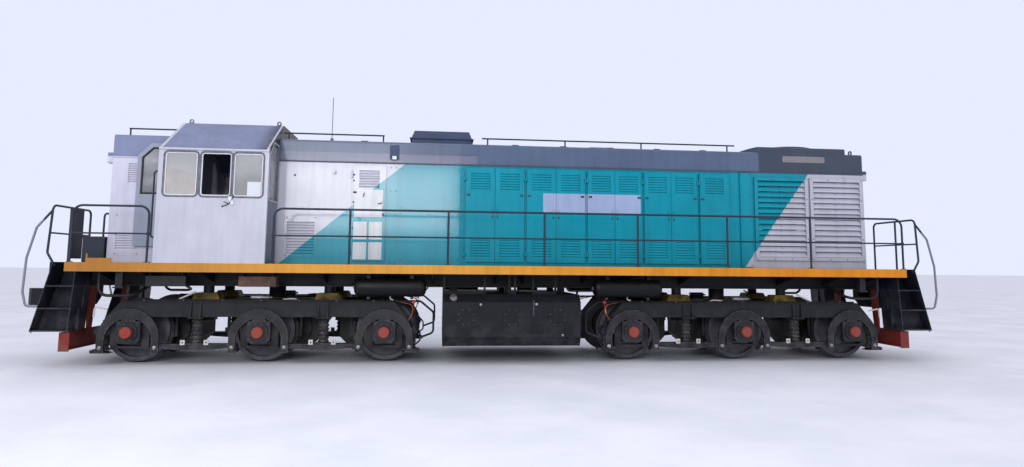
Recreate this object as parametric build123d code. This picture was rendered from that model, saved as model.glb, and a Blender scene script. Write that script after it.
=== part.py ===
"""Six-axle diesel shunting locomotive with hoods, a raised cab and two three-axle bogies.

Millimetres. +X runs to the radiator end, +Z is up, and the origin is the middle of the length
and width at the foot of the wheel flanges. Heights written as rail(h) are above the rail top.
Most pieces are drawn on the +Y side or at the +X end and mirrored to the others.
"""
from build123d import *
import math
import os

# Clearances: a running fit, a moving gap, and how far one solid runs into one it is fused to
RUNNING_GAP = 0.3
MOVING_GAP = 6.0
LAP = 1.0

# Wheels and axles
FLANGE_HEIGHT = 28.0
WHEEL_DIAMETER = 1050.0
WHEEL_WIDTH = 130.0
WHEEL_BACK_TO_BACK = 1440.0
AXLE_DIAMETER = 200.0
JOURNAL_DIAMETER = 160.0
JOURNAL_LENGTH = 230.0


def rail(height):
    """Model height of a point that lies this far above the rail top."""
    return FLANGE_HEIGHT + height


AXLE_Z = rail(WHEEL_DIAMETER / 2)
WHEEL_FACE_Y = WHEEL_BACK_TO_BACK / 2 + WHEEL_WIDTH

# Bogies
AXLE_SPACING = 2100.0
FRAME_Y0 = WHEEL_FACE_Y + 100
FRAME_WIDTH = 240.0
FRAME_Y1 = FRAME_Y0 + FRAME_WIDTH
FRAME_Y = (FRAME_Y0 + FRAME_Y1) / 2
JOURNAL_END_Y = FRAME_Y0 + JOURNAL_LENGTH
BOX_HALF = 190.0
BOX_HALF_HEIGHT = 185.0
BOX_TRAVEL = 65.0
FRAME_BOTTOM = AXLE_Z + BOX_HALF_HEIGHT + BOX_TRAVEL
FRAME_DEPTH = 265.0
FRAME_TOP = FRAME_BOTTOM + FRAME_DEPTH
JAW_LEG = 120.0
JAW_FOOT = AXLE_Z - BOX_HALF_HEIGHT - 50
JAW_TIE = 40.0
SPRING_DIAMETER = 190.0
END_SPRING_X = AXLE_SPACING + 450
END_SEAT = AXLE_Z - 45
HORN_X = END_SPRING_X + SPRING_DIAMETER / 2 + 25
HORN_RUN = 410.0
TANK_HALF = 1200.0
TANK_TO_BOGIE = 430.0
PIVOT_X = TANK_HALF + TANK_TO_BOGIE + HORN_X
TRANSOM_X = AXLE_SPACING / 2
TRANSOM_HALF = 110.0
TRANSOM_BOTTOM = FRAME_BOTTOM + 55
SPINE_HALF = 300.0
BEARER_Y = 600.0
BEARER_HEIGHT = 125.0
BEARER_DIAMETER = 180.0
BEARER_Z = FRAME_TOP + BEARER_HEIGHT
PIVOT_POST_DIAMETER = 300.0
ARCH_OUTER = 490.0
ARCH_INNER = 375.0
ARCH_TOP = AXLE_Z + 385
ARCH_CROWN = AXLE_Z + BOX_HALF_HEIGHT + 50
ARCH_FOOT = AXLE_Z - 345
ARCH_WIDTH = 55.0
ARCH_Y0 = FRAME_Y1 + RUNNING_GAP
ARCH_Y1 = ARCH_Y0 + ARCH_WIDTH

# Main frame: heights build up from the bearers
CENTRE_SILL_DEPTH = 380.0
CENTRE_SILL_Y = 620.0
DECK_PLATE = 18.0
SILL_LOW = BEARER_Z + 117
DECK_LOW = SILL_LOW + CENTRE_SILL_DEPTH
DECK_TOP = DECK_LOW + DECK_PLATE
BOGIE_TO_SILL_END = 340.0
SILL_HALF_LENGTH = PIVOT_X + HORN_X + BOGIE_TO_SILL_END
SILL_HALF_WIDTH = 1560.0
SILL_WIDTH = 90.0
SILL_DEPTH = 150.0
DECK_EDGE_Y = SILL_HALF_WIDTH - SILL_WIDTH
DECK_END_X = SILL_HALF_LENGTH + 380
BEAM_PLATE = 25.0
BEAM_END_X = DECK_END_X + 180
BEAM_Y = 930.0
NOTCH_Y = BEAM_Y + 10
COUPLER_PLANE_X = BEAM_END_X + 615
COUPLER_Z = rail(1060)
STAIR_Y0 = NOTCH_Y + 10
STAIR_Y1 = SILL_HALF_WIDTH - 60
STAIR_PLATE = 12.0
GUARD_X = SILL_HALF_LENGTH + 50
GUARD_TOP = rail(545)

# Hoods and cab, lengthways from the cab end
WALL = 40.0
HOOD_HALF_WIDTH = 870.0
HOOD_HEIGHT = 2250.0
HOOD_EDGE = DECK_TOP + HOOD_HEIGHT
HOOD_CROWN = 40.0
HOOD_TOP = HOOD_EDGE + HOOD_CROWN
HOOD_CORNER = 50.0
GUTTER_Z = DECK_TOP + 1860
SHORT_HOOD_X = 310.0 - SILL_HALF_LENGTH
SHORT_HOOD_LENGTH = 1040.0
CAB_LENGTH = 1780.0
EQUIPMENT_LENGTH = 2140.0
CAB_BACK_X = SHORT_HOOD_X + SHORT_HOOD_LENGTH
CAB_FRONT_X = CAB_BACK_X + CAB_LENGTH
ENGINE_HOOD_X = CAB_FRONT_X + EQUIPMENT_LENGTH
LONG_HOOD_END_X = SILL_HALF_LENGTH - 320
RADIATOR_LENGTH = 2270.0
RADIATOR_X = LONG_HOOD_END_X - RADIATOR_LENGTH
COWL_LENGTH = 1780.0
COWL_X1 = LONG_HOOD_END_X - 350
COWL_X0 = COWL_X1 - COWL_LENGTH
COWL_HEIGHT = 110.0
FAN_X = (COWL_X0 + COWL_X1) / 2
FAN_DIAMETER = 1200.0
FAN_Z = HOOD_EDGE - 60
CAB_WALL = 50.0
CAB_HALF_WIDTH = SILL_HALF_WIDTH
CAB_EAVE = DECK_TOP + 1920
CAB_RIDGE_Y = 590.0
CAB_RIDGE_Z = DECK_TOP + 2540
CAB_FLOOR = DECK_TOP + 270

# Doors
DOOR_THICKNESS = 25.0
DOOR_BOTTOM = DECK_TOP + 65
DOOR_TOP = DECK_TOP + 1800
DOOR_FRAME = 30.0
HINGE_DIAMETER = 26.0
HINGE_OFFSET = 20.0
KNUCKLE = 60.0
CAB_LEAF = 35.0

# Handrails
TUBE = 36.0
THIN_TUBE = 28.0
RAIL_Y = SILL_HALF_WIDTH - 25
RAIL_TOP = DECK_TOP + 930
RAIL_MIDDLE = DECK_TOP + 475


def block(x0, x1, y0, y1, z0, z1):
    """Box between two corners."""
    return Pos((x0 + x1) / 2, (y0 + y1) / 2, (z0 + z1) / 2) * Box(x1 - x0, y1 - y0, z1 - z0)


def along_x(section, x0, x1):
    """Prism with a (y, z) outline."""
    plane = Plane(origin=(x0, 0, 0), x_dir=(0, 1, 0), z_dir=(1, 0, 0))
    return extrude(plane * make_face(Polyline(*section, close=True)), x1 - x0)


def side_plane(y):
    """Plane whose own axes are the model's X and Z, facing -Y."""
    return Plane(origin=(0, y, 0), x_dir=(1, 0, 0), z_dir=(0, -1, 0))


def along_y(section, y0, y1):
    """Prism with an (x, z) outline."""
    return extrude(side_plane(y1) * make_face(Polyline(*section, close=True)), y1 - y0)


def along_z(section, z0, z1):
    """Prism with an (x, y) outline."""
    return extrude(Plane.XY.offset(z0) * make_face(Polyline(*section, close=True)), z1 - z0)


def rod(start, end, diameter):
    """Round bar between two points."""
    start, end = Vector(*start), Vector(*end)
    axis = end - start
    plane = Plane(origin=start, z_dir=axis)
    return extrude(plane * Circle(diameter / 2), axis.length)


def pipe(points, diameter, radius):
    """Round bar through the points, with a bend of this radius at each corner."""
    path = FilletPolyline(*points, radius=radius)
    return sweep(Plane(origin=path @ 0, z_dir=path % 0) * Circle(diameter / 2), path=path)


def rounded_block(x0, x1, y0, y1, z0, z1, radius, axis=Axis.Y):
    """Box with four rounded edges along one axis."""
    shape = block(x0, x1, y0, y1, z0, z1)
    return fillet(shape.edges().filter_by(axis), radius)


def other_side(shape):
    return mirror(shape, Plane.XZ)


def other_end(shape):
    return mirror(shape, Plane.YZ)


def both_sides(shapes):
    """The shapes and their mirror images across the middle of the width."""
    shapes = list(shapes)
    return shapes + [other_side(shape) for shape in shapes]


def four_corners(shape):
    pair = both_sides([shape])
    return pair + [other_end(s) for s in pair]


def fused(shapes):
    """One solid from pieces that overlap or meet."""
    shapes = list(shapes)
    whole = shapes[0]
    for shape in shapes[1:]:
        whole = whole + shape
    return whole


def save(node, *shapes):
    """Write one named node; its solids don't touch each other."""
    solids = []
    for shape in shapes:
        solids.extend(shape.solids())
    export_step(Compound(children=solids), f"parts/{node}.step")


def turned(shape, angle, pivot_x, pivot_y):
    """Turn about a vertical line."""
    return Pos(pivot_x, pivot_y, 0) * Rot(0, 0, angle) * Pos(-pivot_x, -pivot_y, 0) * shape


# Wheelsets

def wheelset(x):
    """Axle with two flanged wheels, turned as one piece about its own line."""
    radius = WHEEL_DIAMETER / 2
    back, face = WHEEL_BACK_TO_BACK / 2, WHEEL_FACE_Y
    rim, hub = radius - 75, AXLE_DIAMETER / 2 + 50
    flange = radius + FLANGE_HEIGHT
    collar = JOURNAL_DIAMETER / 2 + 12
    journal = JOURNAL_DIAMETER / 2
    profile = [
        (0, 0), (0, AXLE_DIAMETER / 2), (back - 10, AXLE_DIAMETER / 2), (back - 10, hub),
        (back + 35, hub + 25), (back + 35, rim), (back, rim), (back, flange - 6), (back + 10, flange),
        (back + 24, flange - 8), (back + 36, radius + 4), (face - 8, radius - 3), (face, radius - 12),
        (face, rim), (back + 62, rim), (back + 70, hub + 25), (face + 20, hub), (face + 20, collar),
        (FRAME_Y0 + 30, collar), (FRAME_Y0 + 30, journal), (JOURNAL_END_Y, journal), (JOURNAL_END_Y, 0),
    ]
    half = revolve(make_face(Polyline(*[(r, y) for y, r in profile], close=True)), Axis.Y)
    return Pos(x, 0, AXLE_Z) * (half + other_side(half))


# Bogies, drawn about their own pivot at x = 0

AXLES = (-AXLE_SPACING, 0.0, AXLE_SPACING)
MIDDLE_SPRINGS = (-AXLE_SPACING / 2, AXLE_SPACING / 2)
RIB_SPREAD = 80.0


def sideframe():
    """Deep girder with jaws for the axleboxes and a sloping horn over each end spring."""
    reach = BOX_HALF + RUNNING_GAP + JAW_LEG
    shoulder = HORN_X - HORN_RUN
    inner = AXLE_SPACING + reach
    half = [(0, FRAME_TOP), (shoulder, FRAME_TOP), (HORN_X, END_SEAT + 60), (HORN_X - 30, END_SEAT),
            (inner, END_SEAT), (inner, FRAME_BOTTOM), (0, FRAME_BOTTOM)]
    girder = along_y(half, FRAME_Y0, FRAME_Y1)
    eye_z = (END_SEAT + FRAME_TOP) / 2 - 110
    eye = rod((END_SPRING_X, FRAME_Y0 - LAP, eye_z), (END_SPRING_X, FRAME_Y1 + LAP, eye_z), 110)
    girder = girder - eye
    pieces = [girder, other_end(girder)]
    pieces.append(block(-shoulder, shoulder, FRAME_Y0 - 15, FRAME_Y1 + 15, FRAME_TOP - 18, FRAME_TOP))
    for x in AXLES:
        for side in (-1, 1):
            low, high = sorted((x + side * (reach - JAW_LEG), x + side * reach))
            pieces.append(block(low, high, FRAME_Y0 + 30, FRAME_Y1 - 30, JAW_FOOT, FRAME_BOTTOM + LAP))
        pieces.append(block(x - reach, x + reach, FRAME_Y0 + 50, FRAME_Y1 - 50,
                            JAW_FOOT - JAW_TIE, JAW_FOOT))
    rib = [(FRAME_Y1 - LAP, FRAME_BOTTOM), (FRAME_Y1 + ARCH_WIDTH, FRAME_BOTTOM),
           (FRAME_Y1 + 12, FRAME_TOP - 18), (FRAME_Y1 - LAP, FRAME_TOP - 18)]
    for x in MIDDLE_SPRINGS:
        for dx in (-RIB_SPREAD, RIB_SPREAD):
            pieces.append(along_x(rib, x + dx - 12, x + dx + 12))
        wide = RIB_SPREAD + 40
        pieces.append(block(x - wide, x + wide, FRAME_Y0, FRAME_Y1 + ARCH_WIDTH, FRAME_BOTTOM - 25,
                            FRAME_BOTTOM))
    return fused(pieces)


PIPE_REACH = 270.0


def frame_pipes():
    """Pipe along the girder's top and round its +X end, and a thin one down the slope of its horn."""
    y, z = FRAME_Y1 - 20, FRAME_TOP + 12
    far = HORN_X + PIPE_REACH
    start, close = HORN_X - HORN_RUN, HORN_X + 40
    loop = [(70 - start, y, z), (close, y, z), (far, y, z - 190), (far, y, END_SEAT + 30),
            (close - 10, y, END_SEAT - 60)]
    y = y - 40
    thin = [(start - 150, y, FRAME_TOP + 8), (start + 6, y, FRAME_TOP + 8), (close, y, END_SEAT + 30),
            (close, y, END_SEAT - 110), (HORN_X - 30, y, END_SEAT - 170)]
    return [pipe(loop, TUBE, 80), pipe(thin, THIN_TUBE, 40)]


def bogie_frame():
    """Two side girders, two transoms with their side bearers, the pivot bowl and the pipes."""
    pieces = both_sides([sideframe()])
    for x in (-TRANSOM_X, TRANSOM_X):
        pieces.append(block(x - TRANSOM_HALF, x + TRANSOM_HALF, -FRAME_Y0 - LAP, FRAME_Y0 + LAP,
                            TRANSOM_BOTTOM, FRAME_TOP))
        for y in (-BEARER_Y, BEARER_Y):
            pan = [(x - 240, FRAME_TOP), (x + 240, FRAME_TOP), (x + 210, FRAME_TOP + 70),
                   (x + 180, BEARER_Z - RUNNING_GAP), (x - 180, BEARER_Z - RUNNING_GAP),
                   (x - 210, FRAME_TOP + 70)]
            pieces.append(along_y(pan, y - 150, y + 150))
    pieces.append(block(-TRANSOM_X, TRANSOM_X, -SPINE_HALF, SPINE_HALF, FRAME_TOP - 110, FRAME_TOP))
    pieces.append(rod((0, 0, FRAME_TOP - 140), (0, 0, FRAME_TOP + 25), PIVOT_POST_DIAMETER + 160))
    pieces += both_sides(frame_pipes())
    bowl = PIVOT_POST_DIAMETER + 2 * MOVING_GAP
    return fused(pieces) - rod((0, 0, FRAME_TOP - 150), (0, 0, FRAME_TOP + 40), bowl)


def axlebox(x):
    """Box with chamfered corners, round cover and end cap, bored for the journal."""
    y0, y1 = FRAME_Y0 + 15, ARCH_Y1
    half, low, high = BOX_HALF, AXLE_Z - BOX_HALF_HEIGHT, AXLE_Z + BOX_HALF_HEIGHT
    bevel = 55
    outline = [(x - half, low + bevel), (x - half + bevel, low), (x + half - bevel, low),
               (x + half, low + bevel), (x + half, high - 20), (x + half - 20, high), (x - half + 20, high),
               (x - half, high - 20)]
    box = along_y(outline, y0, y1)
    cover = rod((x, y1 - LAP, AXLE_Z), (x, y1 + 30, AXLE_Z), 310)
    step = rod((x, y1, AXLE_Z), (x, y1 + 55, AXLE_Z), 240)
    cap = rod((x, y1, AXLE_Z), (x, y1 + 115, AXLE_Z), 190)
    box = fused([box, cover, step, cap])
    edge = box.faces().sort_by(Axis.Y)[-1].edges()
    box = chamfer(edge, 12)
    bore = rod((x, y0 - LAP, AXLE_Z), (x, JOURNAL_END_Y + 5, AXLE_Z), JOURNAL_DIAMETER + 2 * RUNNING_GAP)
    shoulder = rod((x, y0 - LAP, AXLE_Z), (x, FRAME_Y0 + 40, AXLE_Z), JOURNAL_DIAMETER + 40)
    return box - bore - shoulder


def bell_face(x, radius, top, foot):
    """Upright outline with a round head, seen from the side."""
    z = top - radius
    return make_face([
        Line((x - radius, foot), (x - radius, z)),
        ThreePointArc((x - radius, z), (x, top), (x + radius, z)),
        Line((x + radius, z), (x + radius, foot)),
        Line((x + radius, foot), (x - radius, foot)),
    ])


def arch_beam(x):
    """Balancer bar arched over one axlebox, with the saddle that stands on the box."""
    outer = extrude(side_plane(ARCH_Y1) * bell_face(x, ARCH_OUTER, ARCH_TOP, ARCH_FOOT), ARCH_WIDTH)
    inner = side_plane(ARCH_Y1 + LAP) * bell_face(x, ARCH_INNER, ARCH_CROWN, ARCH_FOOT - LAP)
    beam = outer - extrude(inner, ARCH_WIDTH + 2 * LAP)
    box_top = AXLE_Z + BOX_HALF_HEIGHT
    saddle = [(x - 110, box_top + RUNNING_GAP), (x + 110, box_top + RUNNING_GAP), (x + 70, ARCH_CROWN + 20),
              (x - 70, ARCH_CROWN + 20)]
    return beam + along_y(saddle, ARCH_Y0, ARCH_Y1)


def coil_spring(x, z0, z1, coils):
    """Coils as rings on a core, each ring where a turn of the spring lies, on a flat foot."""
    wire = SPRING_DIAMETER / 5
    r0, r1 = SPRING_DIAMETER / 2 - wire / 2, SPRING_DIAMETER / 2
    pitch = (z1 - z0) / coils
    points = [(0, z0)]
    for turn in range(coils):
        low = z0 + turn * pitch
        points += [(r1 - 8, low), (r1, low + pitch * 0.3), (r1 - 8, low + pitch * 0.6),
                   (r0, low + pitch * 0.62), (r0, low + pitch)]
    points.append((0, z1))
    face = Plane.XZ * make_face(Polyline(*points, close=True))
    return Pos(x, FRAME_Y, 0) * revolve(face, Axis.Z)


SPRING_BAR = 100.0
MIDDLE_BAR_TOP = AXLE_Z - 205
END_BAR_TOP = AXLE_Z - 300
BAR_Y0 = FRAME_Y0 + 50


def spring_bar(x0, x1, spring_x, top, depth):
    """Bar that hangs between the balancers' feet and carries a spring in a round cup."""
    low = top - depth
    outline = [(x0, top), (spring_x - 150, top), (spring_x - 130, top + 12), (spring_x + 130, top + 12),
               (spring_x + 150, top), (x1, top), (x1, top - depth * 0.6), (spring_x + 150, low),
               (spring_x - 150, low), (x0, top - depth * 0.6)]
    return along_y(outline, BAR_Y0, FRAME_Y1)


def spring_gear():
    """Balancer bars, spring bars and coil springs of both sides of one bogie."""
    shapes = [arch_beam(x) for x in AXLES]
    leg = ARCH_INNER + 15
    for x in MIDDLE_SPRINGS:
        shapes.append(spring_bar(x - TRANSOM_X + leg, x + TRANSOM_X - leg, x, MIDDLE_BAR_TOP, SPRING_BAR))
        shapes.append(coil_spring(x, MIDDLE_BAR_TOP + 12 + RUNNING_GAP, FRAME_BOTTOM - 25, 6))
    end = spring_bar(AXLE_SPACING + leg, END_SPRING_X + 160, END_SPRING_X, END_BAR_TOP, 50)
    coil = coil_spring(END_SPRING_X, END_BAR_TOP + 12 + RUNNING_GAP, END_SEAT, 5)
    shapes += [end, other_end(end), coil, other_end(coil)]
    return both_sides(shapes)


MOTOR_REACH = 470.0
MOTOR_HALF = 385.0
MOTOR_Y = 480.0


def traction_motor(x, side, nose_reach):
    """Nose-hung motor: many-sided housing, axle bearings, gear case and a nose under the transom."""
    centre, z = x + side * MOTOR_REACH, AXLE_Z + 10
    corner = MOTOR_HALF * math.tan(math.pi / 8)
    outline = []
    for sx, sz in ((1, 1), (-1, 1), (-1, -1), (1, -1)):
        pair = [(centre + sx * MOTOR_HALF, z + sz * corner), (centre + sx * corner, z + sz * MOTOR_HALF)]
        outline += pair if sx * sz > 0 else pair[::-1]
    motor = along_y(outline, -MOTOR_Y, MOTOR_Y)
    arm = rod((x, -MOTOR_Y, AXLE_Z), (x, MOTOR_Y, AXLE_Z), AXLE_DIAMETER + 130)
    y0, y1 = MOTOR_Y - LAP, MOTOR_Y + 150
    wheel_gear = rod((x, y0, AXLE_Z), (x, y1, AXLE_Z), 640)
    motor_gear = rod((centre, y0, AXLE_Z), (centre, y1, AXLE_Z), 360)
    web = [(x, AXLE_Z - 320), (centre, AXLE_Z - 180), (centre, AXLE_Z + 180), (x, AXLE_Z + 320)]
    case = [wheel_gear, motor_gear, along_y(web, y0, y1)]
    bell = rod((centre, -MOTOR_Y - 60, z), (centre, -MOTOR_Y + LAP, z), 560)
    nose = block(*sorted((centre + side * (MOTOR_HALF - 30), x + side * nose_reach)), -120, 120,
                 TRANSOM_BOTTOM - 190, TRANSOM_BOTTOM - RUNNING_GAP)
    bore = rod((x, -MOTOR_Y - LAP, AXLE_Z), (x, y1 + LAP, AXLE_Z), AXLE_DIAMETER + 2 * RUNNING_GAP)
    return fused([motor, arm, bell, nose] + case) - bore


def traction_motors(outward):
    """The end motors hang from the outer half of their transom, the middle one from the inner half."""
    end_reach = AXLE_SPACING - TRANSOM_X - TRANSOM_HALF + 60
    middle_reach = TRANSOM_X - TRANSOM_HALF + 50
    return [traction_motor(-AXLE_SPACING, 1, end_reach), traction_motor(AXLE_SPACING, -1, end_reach),
            traction_motor(0.0, -outward, middle_reach)]


SHOE_THICKNESS = 55.0
SHOE_ANGLE = 28.0


def brake_unit(x, side):
    """Brake block beside one wheel, on its hanger and the pin that joins it to the girder."""
    y0, y1 = WHEEL_BACK_TO_BACK / 2 + 46, WHEEL_FACE_Y - 6
    inner = WHEEL_DIAMETER / 2 + MOVING_GAP + 4
    outer = inner + SHOE_THICKNESS
    ring = rod((x, y0, AXLE_Z), (x, y1, AXLE_Z), 2 * outer)
    ring = ring - rod((x, y0 - LAP, AXLE_Z), (x, y1 + LAP, AXLE_Z), 2 * inner)
    low = -math.radians(SHOE_ANGLE + 12)
    high = math.radians(SHOE_ANGLE - 12)
    far = 2 * outer
    wedge = [(x, AXLE_Z), (x + side * far * math.cos(low), AXLE_Z + far * math.sin(low)),
             (x + side * far * math.cos(high), AXLE_Z + far * math.sin(high))]
    shoe = ring & along_y(wedge, y0, y1)
    hang_x, top = x + side * (outer + 25), FRAME_BOTTOM + 40
    link = [(hang_x - 22, AXLE_Z - 110), (hang_x + 22, AXLE_Z - 110), (hang_x + 22, top + 25),
            (hang_x - 22, top + 25)]
    hanger = along_y(link, y0 + 20, y1 - 20)
    head = block(*sorted((x + side * (inner + 20), hang_x)), y0 + 20, y1 - 20, AXLE_Z - 110, AXLE_Z - 50)
    pin = rod((hang_x, y0 + 20, top), (hang_x, FRAME_Y0, top), 44)
    return fused([shoe, head, hanger, pin])


def brake_gear():
    units = []
    for x in AXLES:
        for side in (-1, 1):
            if abs(x + side * WHEEL_DIAMETER / 2) < AXLE_SPACING:
                units.append(brake_unit(x, side))
    return both_sides(units)


def bogie_nodes(name, pivot_x, outward):
    """Write one bogie's nodes; outward is +1 at the radiator end and -1 at the cab end."""
    place = Pos(pivot_x, 0, 0)
    frame = bogie_frame()
    save(f"bogie_frame_{name}", place * (frame if outward < 0 else other_end(frame)))
    save(f"axleboxes_{name}", *[place * s for s in both_sides([axlebox(x) for x in AXLES])])
    save(f"spring_gear_{name}", *[place * s for s in spring_gear()])
    save(f"brake_gear_{name}", *[place * s for s in brake_gear()])
    save(f"traction_motors_{name}", *[place * s for s in traction_motors(outward)])
    for number, x in enumerate(AXLES, start=1):
        save(f"wheelset_{name}_{number}", wheelset(pivot_x + x))


# Main frame

# Cross members: place between the middle of the length and the sill's end, from 0 to 1
OUTRIGGERS = (0.034, 0.19, 0.3, 0.45, 0.72, 0.85, 0.95)
JACK_X = SILL_HALF_LENGTH - 800
JACK_PAD = 160.0
JACK_PLATE = 25.0
JACK_Z = SILL_LOW - 22
# Boxes hung under each side of the deck near the rear pivot: start x, end x
UNDER_BOXES = ((-PIVOT_X - 1800, -PIVOT_X - 1170), (-PIVOT_X - 320, 290 - PIVOT_X))


def i_section(y, low, top, flange, web, edge):
    """Outline of an I-beam standing at y."""
    half, mid = flange / 2, web / 2
    return [
        (y - half, top), (y + half, top), (y + half, top - edge), (y + mid, top - edge),
        (y + mid, low + edge), (y + half, low + edge), (y + half, low), (y - half, low),
        (y - half, low + edge), (y - mid, low + edge), (y - mid, top - edge), (y - half, top - edge),
    ]


def air_main():
    """Bent pipe at one corner, from the deck down and inwards to the centre sill."""
    x, y, low = SILL_HALF_LENGTH - 450, DECK_EDGE_Y - 120, FRAME_TOP + 95
    points = [(x, y, DECK_LOW + LAP), (x, y, low), (x - 560, y, low),
              (x - 560, CENTRE_SILL_Y, SILL_LOW + 40)]
    return pipe(points, 50, 150)


def jacking_bracket():
    """Box pillar under the deck with a square pad at its foot."""
    x, y, half = JACK_X, DECK_EDGE_Y - JACK_PAD / 2, JACK_PAD / 2
    post = half - JACK_PLATE
    pad = block(x - half, x + half, y - half, y + half, JACK_Z, JACK_Z + JACK_PLATE)
    pillar = block(x - post, x + post, y - post, y + post, JACK_Z + JACK_PLATE - LAP, DECK_LOW + LAP)
    return pad + pillar


def under_box(x0, x1):
    """Box slung under the deck by two plates, on the +Y side."""
    y0, y1 = CENTRE_SILL_Y + 560, DECK_EDGE_Y - 50
    box = block(x0, x1, y0, y1, SILL_LOW + 10, SILL_LOW + 180)
    hangers = [block(x - 6, x + 6, y0 + 20, y1 - 20, SILL_LOW + 180 - LAP, DECK_LOW + LAP)
               for x in (x0 + 60, x1 - 60)]
    return fused([box] + hangers)


def locker():
    """Chest with a lid on the platform at the cab end."""
    x1 = SHORT_HOOD_X - 20
    x0, y0, y1, top = x1 - 350, -BEAM_Y, 370 - BEAM_Y, DECK_TOP + 430
    chest = block(x0, x1, y0, y1, DECK_TOP - LAP, top)
    return chest + block(x0 - 8, x1 + 8, y0 - 8, y1 + 8, top - 30, top + 12)


def underframe():
    """Deck, centre sills, cross members, pivot posts and side bearers in one welded frame."""
    sill = along_x(i_section(CENTRE_SILL_Y, SILL_LOW, DECK_LOW, 180, 14, 20), -DECK_END_X, DECK_END_X)
    half, edge = SILL_HALF_LENGTH, DECK_EDGE_Y
    deck = along_z(
        [
            (-DECK_END_X, -NOTCH_Y), (-half, -NOTCH_Y), (-half, -edge), (half, -edge), (half, -NOTCH_Y),
            (DECK_END_X, -NOTCH_Y), (DECK_END_X, NOTCH_Y), (half, NOTCH_Y), (half, edge), (-half, edge),
            (-half, NOTCH_Y), (-DECK_END_X, NOTCH_Y),
        ],
        DECK_LOW, DECK_TOP,
    )
    pieces = [deck, sill, other_side(sill)]
    stations = [share * half for share in OUTRIGGERS]
    for x in sorted({-x for x in stations} | set(stations)):
        outline = [(CENTRE_SILL_Y, DECK_LOW), (edge, DECK_LOW), (edge, DECK_LOW - 120),
                   (CENTRE_SILL_Y, SILL_LOW + 60)]
        pieces += both_sides([along_x(outline, x - 8, x + 8)])
        pieces.append(block(x - 8, x + 8, -CENTRE_SILL_Y, CENTRE_SILL_Y, SILL_LOW + 60, DECK_LOW))
    for end in (-1, 1):
        x = end * PIVOT_X
        pieces.append(block(x - 400, x + 400, -CENTRE_SILL_Y, CENTRE_SILL_Y, SILL_LOW, SILL_LOW + 20))
        pieces.append(rod((x, 0, SILL_LOW + LAP), (x, 0, FRAME_TOP - 80), PIVOT_POST_DIAMETER))
        for dx in (-TRANSOM_X, TRANSOM_X):
            for y in (-BEARER_Y, BEARER_Y):
                pieces.append(rod((x + dx, y, BEARER_Z), (x + dx, y, SILL_LOW + LAP), BEARER_DIAMETER))
    pieces += four_corners(air_main())
    pieces += four_corners(jacking_bracket())
    pieces += both_sides([under_box(x0, x1) for x0, x1 in UNDER_BOXES])
    pieces.append(locker())
    return fused(pieces)


def side_sill():
    """Channel along the deck's edge, with a short kerb at the cab end."""
    y0, y1 = DECK_EDGE_Y, SILL_HALF_WIDTH
    z0, z1, plate = DECK_TOP - SILL_DEPTH, DECK_TOP, 14
    section = [(y0, z1), (y1, z1), (y1, z0), (y0 + 20, z0), (y0 + 20, z0 + plate), (y1 - plate, z0 + plate),
               (y1 - plate, z1 - plate), (y0, z1 - plate)]
    sill = along_x(section, -SILL_HALF_LENGTH, SILL_HALF_LENGTH)
    kerb = block(SHORT_HOOD_X + 10, SHORT_HOOD_X + 400, y1 - 20, y1, z1 - LAP, z1 + 70)
    tab = block(SHORT_HOOD_X + 10, SHORT_HOOD_X + 30, y1 - 20, y1, z1, z1 + 140)
    return fused([sill, kerb, tab])


def buffer_beam():
    """End beam with the coupler's pocket, two stays and the uncoupling rod across its face."""
    low, y = rail(880), BEAM_Y
    x1 = BEAM_END_X - BEAM_PLATE
    outline = [(-y, DECK_TOP), (y, DECK_TOP), (y, low + 180), (y - 220, low), (220 - y, low),
               (-y, low + 180)]
    plate = along_x(outline, x1, BEAM_END_X)
    top = block(DECK_END_X, x1 + LAP, -y, y, DECK_LOW, DECK_TOP)
    pocket = block(DECK_END_X, x1 + LAP, -190, 190, COUPLER_Z - 160, COUPLER_Z + 160)
    collar = block(BEAM_END_X - LAP, BEAM_END_X + 30, -190, 190, COUPLER_Z - 160, COUPLER_Z + 160)
    hole = block(DECK_END_X - LAP, BEAM_END_X + 31, -120, 120, COUPLER_Z - 100, COUPLER_Z + 120)
    stays = [block(DECK_END_X, x1 + LAP, s - 8, s + 8, low + 100, DECK_LOW + LAP) for s in (-500, 500)]
    rod_z, rod_x = COUPLER_Z + 330, BEAM_END_X + 70
    lever = pipe([(rod_x, -820, rod_z - 260), (rod_x, -820, rod_z), (rod_x, 260, rod_z)], 26, 60)
    lugs = [block(BEAM_END_X - LAP, rod_x + 20, s - 10, s + 10, rod_z - 30, rod_z + 30)
            for s in (-620, 120)]
    beam = fused([plate, top, pocket, collar] + stays) - hole
    return fused([beam, lever] + lugs)


def coupler():
    """Rigid jaw coupler: a shank and a head with one large and one small tooth."""
    shank = block(DECK_END_X, COUPLER_PLANE_X - 250, -75, 75, COUPLER_Z - 100 + RUNNING_GAP, COUPLER_Z + 90)
    head_plan = [
        (-330, -90), (-200, -235), (-30, -235), (0, -190), (0, -130), (-130, -60), (-150, 50),
        (-60, 80), (90, 95), (115, 150), (30, 235), (-190, 240), (-330, 90),
    ]
    head = along_z([(COUPLER_PLANE_X + dx, y) for dx, y in head_plan], COUPLER_Z - 150, COUPLER_Z + 150)
    guide = along_z([(COUPLER_PLANE_X + dx, y) for dx, y in head_plan[1:4] + [(-160, -150)]],
                    COUPLER_Z - 190, COUPLER_Z + 190)
    return fused([shank, head, guide])


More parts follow.
